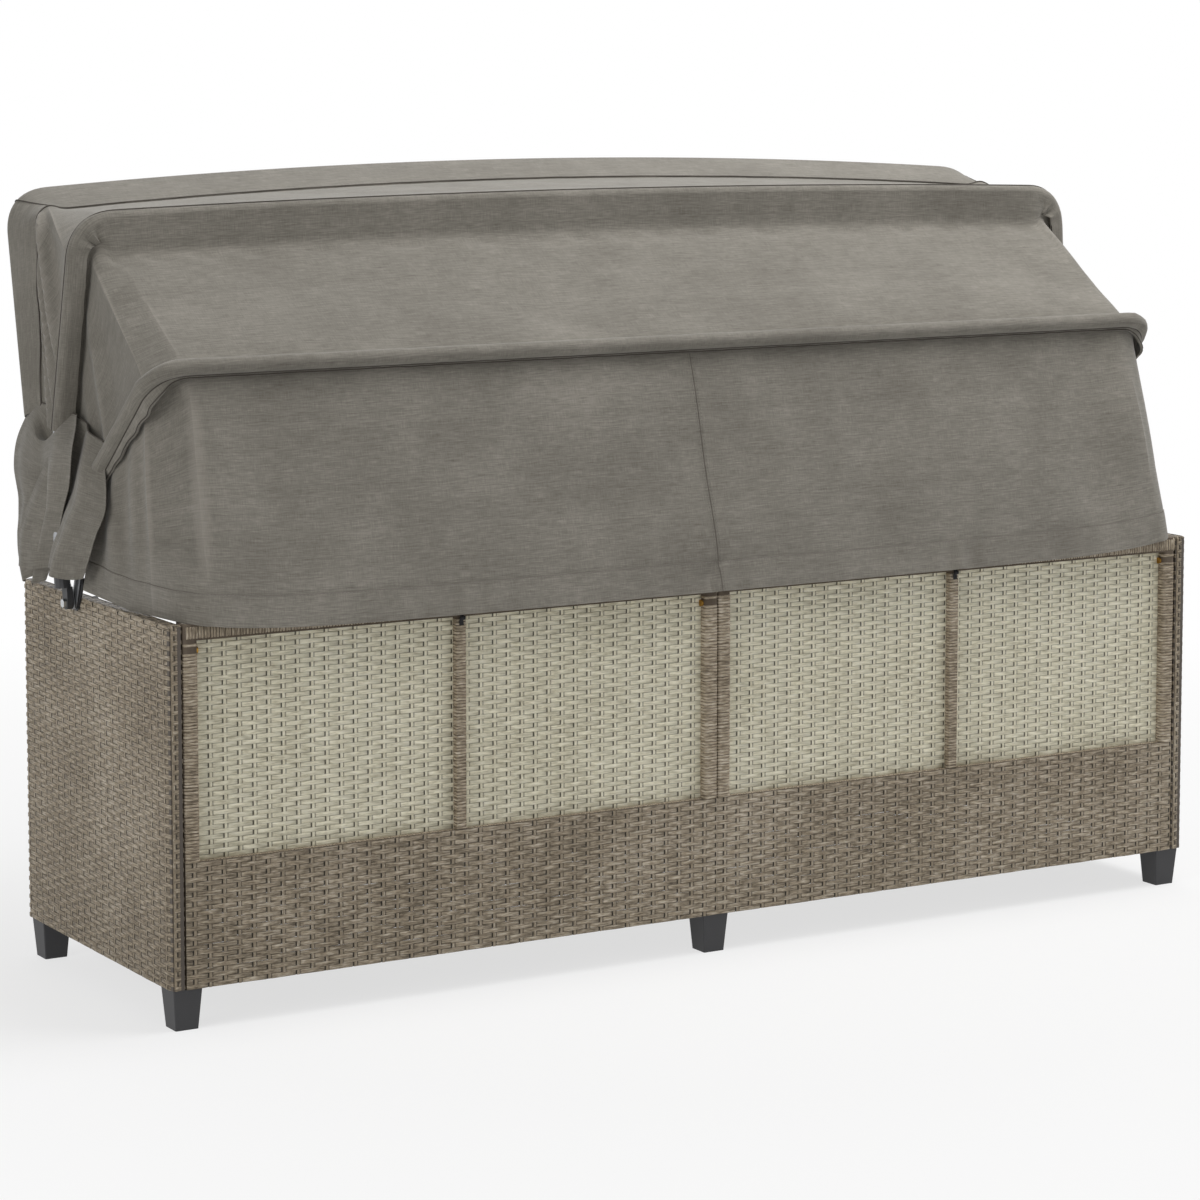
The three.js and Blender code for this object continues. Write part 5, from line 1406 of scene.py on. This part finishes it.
# The back frames are steel ladders wound closely with the same strand. Upright tubes are wound level, rails
# are wound upright, and a bare dark patch is left round each bolt.
WRAP_WIDTH = 4.9 * MM
WRAP_PITCH = 5.0 * MM
WRAP_PROUD = 0.6 * MM
WRAP_CORNER = 5 * MM
WRAP_EDGE = 0.9 * MM
STILE = 24 * MM
RAIL = 25 * MM
MID_STILE = 16 * MM
SKIRT_TOP = 258 * MM
SKIRT_RAIL = 22 * MM
BOLT_CLEAR = 4.5 * MM
BOLT_HEAD = 2 * MM
JOINT_CLEAR = 0.2 * MM


def wound(name, low, high, axis, seed, gaps=(), corner=WRAP_CORNER):
    """Turns of strand round a bar between two corners, along an axis. A turn that meets a gap is left out."""
    low, high = np.array(low, float), np.array(high, float)
    random = np.random.default_rng(seed)
    size = high - low
    turns = int(size[axis] // WRAP_PITCH)
    size[axis] = WRAP_WIDTH
    ring = new_bar(name, tuple(size))
    bevel_edges(ring, along_axis(axis), corner, 2)
    bevel_edges(ring, lambda a, b: abs(a[axis] - b[axis]) < 1e-7, WRAP_EDGE, 1)
    repeat(ring, axis, WRAP_PITCH, turns)
    places = points_of(ring)
    turn = np.clip(np.rint(places[:, axis] / WRAP_PITCH), 0, turns - 1).astype(int)
    from_turn = np.abs(places[:, axis] - turn * WRAP_PITCH) / (WRAP_WIDTH / 2)
    other = (axis + 1) % 3 if axis == 0 else 0
    tilt = random.uniform(-1, 1, turns)[turn] * places[:, other] / size[other]
    places[:, axis] += (random.uniform(-0.25, 0.25, turns)[turn] + 0.6 * tilt) * MM
    middle = (low + high) / 2
    middle[axis] = low[axis] + WRAP_PITCH / 2
    grow = 1 + random.uniform(-0.25, 0.25, turns)[turn] * MM / size.max()
    for i in range(3):
        if i != axis:
            places[:, i] *= grow
    place_points(ring, places + middle)
    # Painted shade: each turn is darkened towards its edges, where it meets the next.
    write_shares(ring, "depth", np.clip((from_turn - 0.7) / 0.3, 0, 1) * 0.35)
    if gaps:
        select_only(ring)
        bpy.ops.object.mode_set(mode="EDIT")
        mesh = bmesh.from_edit_mesh(ring.data)
        along = turn * WRAP_PITCH + middle[axis]
        hidden = [v for v in mesh.verts if min(abs(along[v.index] - gap) for gap in gaps) < BOLT_CLEAR]
        bmesh.ops.delete(mesh, geom=hidden, context="VERTS")
        bmesh.update_edit_mesh(ring.data)
        bpy.ops.object.mode_set(mode="OBJECT")
    smooth_within(ring, 50)
    fitted(ring, rail_strand if axis == 0 else brown_strand)


core = scuffed("wrapped_core", srgb(92, 80, 66), srgb(116, 104, 90), 0.8)
give(named("back_frame"), core)
for side_name, side in SIDES:
    low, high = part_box("back_frame_" + side_name)
    joint_x, arm_x = sorted((low.x, high.x), key=abs)
    middle_x = (low.x + high.x) / 2
    rail_low = high.z - RAIL
    bolts = [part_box(node) for node in named("joint_bolt")]
    for label, face_x, inward in (("joint", joint_x, side * STILE), ("arm", arm_x, -side * STILE)):
        inner_x = face_x + inward
        toward = 1 if inner_x > face_x else -1
        heads = [
            b for b in bolts
            if b[0].x < inner_x < b[1].x and abs((b[1].x if toward > 0 else b[0].x) - inner_x) > BOLT_HEAD
        ]
        gaps = [(b[0].z + b[1].z) / 2 for b in heads]
        x = sorted((face_x + toward * JOINT_CLEAR, inner_x + toward * WRAP_PROUD))
        wound("stile_wrap_" + label + "_" + side_name, (x[0], low.y - WRAP_PROUD, SKIRT_TOP),
              (x[1], high.y + WRAP_PROUD, rail_low), 2, 61 + side + round(abs(face_x)), gaps)
    half = MID_STILE / 2 + WRAP_PROUD
    wound("mid_stile_wrap_" + side_name, (middle_x - half, high.y - 20 * MM, SKIRT_TOP),
          (middle_x + half, high.y - 3 * MM + WRAP_PROUD, rail_low), 2, 71 + side, corner=1.4 * MM)
    wound("top_rail_wrap_" + side_name, (low.x + JOINT_CLEAR, low.y - WRAP_PROUD, rail_low - WRAP_PROUD),
          (high.x - JOINT_CLEAR, high.y + WRAP_PROUD, high.z), 0, 81 + side)
    ends = sorted((joint_x + side * STILE, arm_x - side * STILE))
    wound("skirt_rail_wrap_" + side_name, (ends[0], low.y - WRAP_PROUD, SKIRT_TOP - SKIRT_RAIL),
          (ends[1], high.y - 3.5 * MM, SKIRT_TOP + WRAP_PROUD), 0, 91 + side)


# The seats are decks of plain weave stretched over the seat frames, hidden under the cushions.
DECK_COLOUR = srgb(138, 123, 105)


def deck_finish(name, colour, pitch):
    """A plain weave of flat strand drawn by its over and under pattern, with painted shade where it goes
    under.
    """
    material, tree, out = new_finish(name)
    x = add_node(tree, "SeparateXYZ", None, {"Vector": object_place(tree)})
    y = Shade(tree, x.socket.node.outputs[1])
    wave_x = (x * (math.pi / pitch)).sum("SINE")
    wave_y = (y * (math.pi / pitch)).sum("SINE")
    over = wave_x * wave_y * 0.5 + 0.5
    streaks = grain(tree, object_place(tree, (60, 900, 60)), 1, 3)
    # The strand is darkened to under half its colour where it goes under: painted shade.
    dark = tuple(0.45 * c for c in colour)
    finish_with(tree, out, {
        "Base Color": ramp(tree, over * 0.7 + streaks * 0.3, [(0.2, dark), (0.6, colour)]),
        "Roughness": 0.5 + streaks * 0.2,
        "Normal": raised(tree, over, 0.0012),
    })
    return material


give(named("seat_deck"), deck_finish("deck_weave", DECK_COLOUR, 12 * MM))


# Each seat has a thick loose cushion and each back a leaning one. Covers are grey-beige outdoor cloth over
# foam and wadding, swollen by their filling, with piping sewn into the seams round both faces.
CUSHION_DARK = srgb(134, 127, 118)
CUSHION_BASE = srgb(163, 156, 146)
CUSHION_LIGHT = srgb(188, 181, 171)
CUSHION_VOXEL = 13 * MM
CUSHION_SHRINK = 5 * MM
CUSHION_SETTINGS = {
    "quality": 4,
    "mass": 0.3,
    "tension_stiffness": 12,
    "compression_stiffness": 12,
    "bending_stiffness": 2,
    "use_pressure": True,
    "uniform_pressure_force": 4,
}
CUSHION_FRAMES = 20
CUSHION_TRAVEL = 14 * MM
PIPING_RADIUS = 3.2 * MM
PIPING_STEPS = 168
PIPING_SIDES = 8
PIPING_SMOOTHING = 3
RIM_SQUARENESS = 0.28
RIM_START_OUT = 1.04
RIM_START_UP = 1.1
RIM_AIM_IN = 0.5
RIM_AIM_DOWN = 0.55
CUSHION_RUCK_SHARE = 0.1
CUSHION_PROUD = 1 * MM


def cushion_cloth_finish():
    """Plain weave for pieces with no map of their own."""
    material, tree, out = new_finish("cushion_cloth")
    fine = grain(tree, object_place(tree), 1100, 2)
    slubs = grain(tree, object_place(tree, (30, 420, 420)), 1, 3)
    mottle = grain(tree, object_place(tree), 8, 3)
    tone = fine * 0.3 + slubs * 0.45 + mottle * 0.25
    finish_with(tree, out, {
        "Base Color": ramp(tree, tone, [(0.36, CUSHION_DARK), (0.5, CUSHION_BASE), (0.64, CUSHION_LIGHT)]),
        "Roughness": 0.84 + mottle * 0.1,
        "Sheen Weight": 0.25,
        "Specular IOR Level": 0.2,
        "Normal": raised(tree, fine * 0.5 + slubs * 0.5, 0.0005),
    })
    return material


def swollen(name, node):
    """A copy of a CAD cushion, remeshed evenly and made ready to swell."""
    pad = copy_of(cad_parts[node], name)
    low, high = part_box(node)
    centre, size = np.array((low + high) / 2), np.array(high - low)
    place_points(pad, (points_of(pad) - centre) * (1 - 2 * CUSHION_SHRINK / size) + centre)
    mend(pad, merge=True, outwards=False)
    modified(pad, "REMESH", mode="VOXEL", voxel_size=CUSHION_VOXEL)
    return pad


def swell(pads):
    """Lets the pads swell under pressure and keeps the shape. A cap holds every point near where it began."""
    began = [points_of(pad) for pad in pads]
    for pad in pads:
        cloth = pad.modifiers.new("filling", "CLOTH")
        for name, value in CUSHION_SETTINGS.items():
            setattr(cloth.settings, name, value)
        cloth.settings.effector_weights.gravity = 0
    for step in range(1, CUSHION_FRAMES + 1):
        bpy.context.scene.frame_set(step)
    for pad, start in zip(pads, began):
        select_only(pad)
        bpy.ops.object.modifier_apply(modifier="filling")
        moved = points_of(pad) - start
        far = np.linalg.norm(moved, axis=1, keepdims=True)
        place_points(pad, start + moved * np.minimum(1, CUSHION_TRAVEL / np.maximum(far, 1e-9)))
    bpy.context.scene.frame_set(1)


def round_rim(pad, thick, rim_level):
    """Places round a cushion where its face meets its side, found by looking in at the rim from outside."""
    places = points_of(pad)
    low, high = places.min(0), places.max(0)
    centre, half = (low + high) / 2, (high - low) / 2
    flat = [axis for axis in range(3) if axis != thick]
    path = []
    for i in range(PIPING_STEPS):
        angle = 2 * math.pi * (i + 0.5) / PIPING_STEPS
        ways = np.array([math.cos(angle), math.sin(angle)])
        square = np.sign(ways) * np.abs(ways) ** RIM_SQUARENESS
        start, ahead = centre.copy(), np.zeros(3)
        start[flat] += square * half[flat] * RIM_START_OUT
        ahead[flat] = -square * RIM_AIM_IN
        start[thick] += rim_level * half[thick] * RIM_START_UP
        ahead[thick] = -rim_level * RIM_AIM_DOWN
        hit, place, normal, index = pad.ray_cast(Vector(start), Vector(ahead).normalized())
        if hit:
            path.append(np.array(place))
    path = np.array(path)
    for _ in range(PIPING_SMOOTHING):
        path = (np.roll(path, 1, 0) + 2 * path + np.roll(path, -1, 0)) / 4
    return path


def closed_tube(name, path, radius):
    """A tube along a closed path."""
    ahead = unit(np.roll(path, -1, 0) - np.roll(path, 1, 0))
    middle = path.mean(0)
    outward = unit(path - middle)
    other = unit(np.cross(ahead, outward))
    outward = np.cross(other, ahead)
    angles = np.arange(PIPING_SIDES) * 2 * math.pi / PIPING_SIDES
    rows = path[:, None] + radius * np.stack([outward * math.cos(a) + other * math.sin(a) for a in angles], 1)
    rows = np.concatenate([rows, rows[:1]])
    piece = sewn(name, rows, closed=True, turned=True)
    mend(piece, merge=True)
    smooth_within(piece, 60)
    return piece


cushion_cloth = cushion_cloth_finish()
cushion_pads = {kind: swollen(kind + "_pad_left", kind + "_cushion_left") for kind in ("seat", "back")}
swell(list(cushion_pads.values()))
for kind, thick in (("seat", 2), ("back", 1)):
    pad = cushion_pads[kind]
    modified(pad, "SUBSURF", levels=1, render_levels=1)
    places = points_of(pad)
    low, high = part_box(kind + "_cushion_left")
    middle = np.array((low + high) / 2)
    from_rim = 1 - np.abs(places - middle) / np.array((high - low) / 2)
    flat = [axis for axis in range(3) if axis != thick]
    near_rim = np.exp(-from_rim[:, flat].min(1) / CUSHION_RUCK_SHARE)
    pucker = ripple(places, 26 * MM, 2.2 * MM, 101) * near_rim + ripple(places, 120 * MM, 3 * MM, 103)
    normals = np.array([v.normal for v in pad.data.vertices])
    places += normals * pucker[:, None]
    places = np.clip(places, np.array(low) - CUSHION_PROUD, np.array(high) + CUSHION_PROUD)
    place_points(pad, places)
    mend(pad, merge=True)
    smooth_within(pad, 80)
    rims = [round_rim(pad, thick, rim_level) for rim_level in (1, -1)]
    move_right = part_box(kind + "_cushion_right")[0] - low
    other_pad = copy_of(pad, kind + "_pad_right")
    place_points(other_pad, points_of(other_pad) + np.array(move_right))
    for side_name, piece, move in (("left", pad, Vector()), ("right", other_pad, move_right)):
        fitted(piece, cushion_cloth, node=kind + "_cushion_" + side_name)
        for face_name, rim in zip(("open", "rest"), rims):
            name = kind + "_piping_" + face_name + "_" + side_name
            piping = closed_tube(name, rim + np.array(move), PIPING_RADIUS)
            fitted(piping, cushion_cloth)


# Two black webbing ties hang from under the hem at the middle stiles, each with a knot.
TAPE_COLOUR = srgb(34, 34, 36)


def webbing_finish():
    """Woven tape: fine ribs across a black band."""
    material, tree, out = new_finish("black_tape")
    ribs = grain(tree, object_place(tree, (300, 300, 1500)), 1, 2)
    finish_with(tree, out, {
        "Base Color": ramp(tree, ribs, [(0.4, tuple(0.5 * c for c in TAPE_COLOUR)), (0.65, TAPE_COLOUR)]),
        "Roughness": 0.8 + ribs * 0.1,
        "Normal": raised(tree, ribs, 0.0005),
    })
    return material


black_tape = webbing_finish()
TAPE_THICK = 1.6 * MM
TAPE_DRAWN_IN = 0.6
TAPE_HANG = 0.75
KNOT_DOWN_SHARE = 0.46
KNOT_WIDTH_SHARE = 0.7
for side_name, side in SIDES:
    low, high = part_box("hem_tie_" + side_name)
    drop = np.linspace(0, 1, 25)
    across = np.linspace(-0.5, 0.5, 7)
    width = (high.x - low.x) * (1 - 0.4 * near(drop, 0.45, 0.14)) * TAPE_DRAWN_IN
    rows = np.zeros((len(drop), len(across), 3))
    rows[:, :, 0] = (low.x + high.x) / 2 + width[:, None] * across + 2 * MM * np.sin(2.4 * drop)[:, None]
    rows[:, :, 1] = (low.y + high.y) / 2 + 2.2 * MM * near(drop, 0.45, 0.12)[:, None]
    rows[:, :, 1] += 1.5 * MM * across[None] ** 2
    rows[:, :, 2] = high.z + (low.z - high.z) * TAPE_HANG * drop[:, None]
    tape = sewn("webbing_tie_" + side_name, rows)
    give_thickness(tape, TAPE_THICK)
    fitted(tape, black_tape, node="hem_tie_" + side_name)
    knot_low = high.z - KNOT_DOWN_SHARE * (high.z - low.z)
    turns = new_bar("webbing_knot_" + side_name, ((high.x - low.x) * KNOT_WIDTH_SHARE, 5 * MM, 6 * MM))
    bevel_edges(turns, lambda a, b: True, 1.8 * MM, 3)
    knot_place = ((low.x + high.x) / 2, (low.y + high.y) / 2 + 1.5 * MM, knot_low + 3 * MM)
    places = points_of(turns) + np.array(knot_place)
    place_points(turns, places + 0.6 * MM * np.sin(places[:, ::-1] / (2 * MM)))
    smooth_within(turns, 60)
    fitted(turns, black_tape)
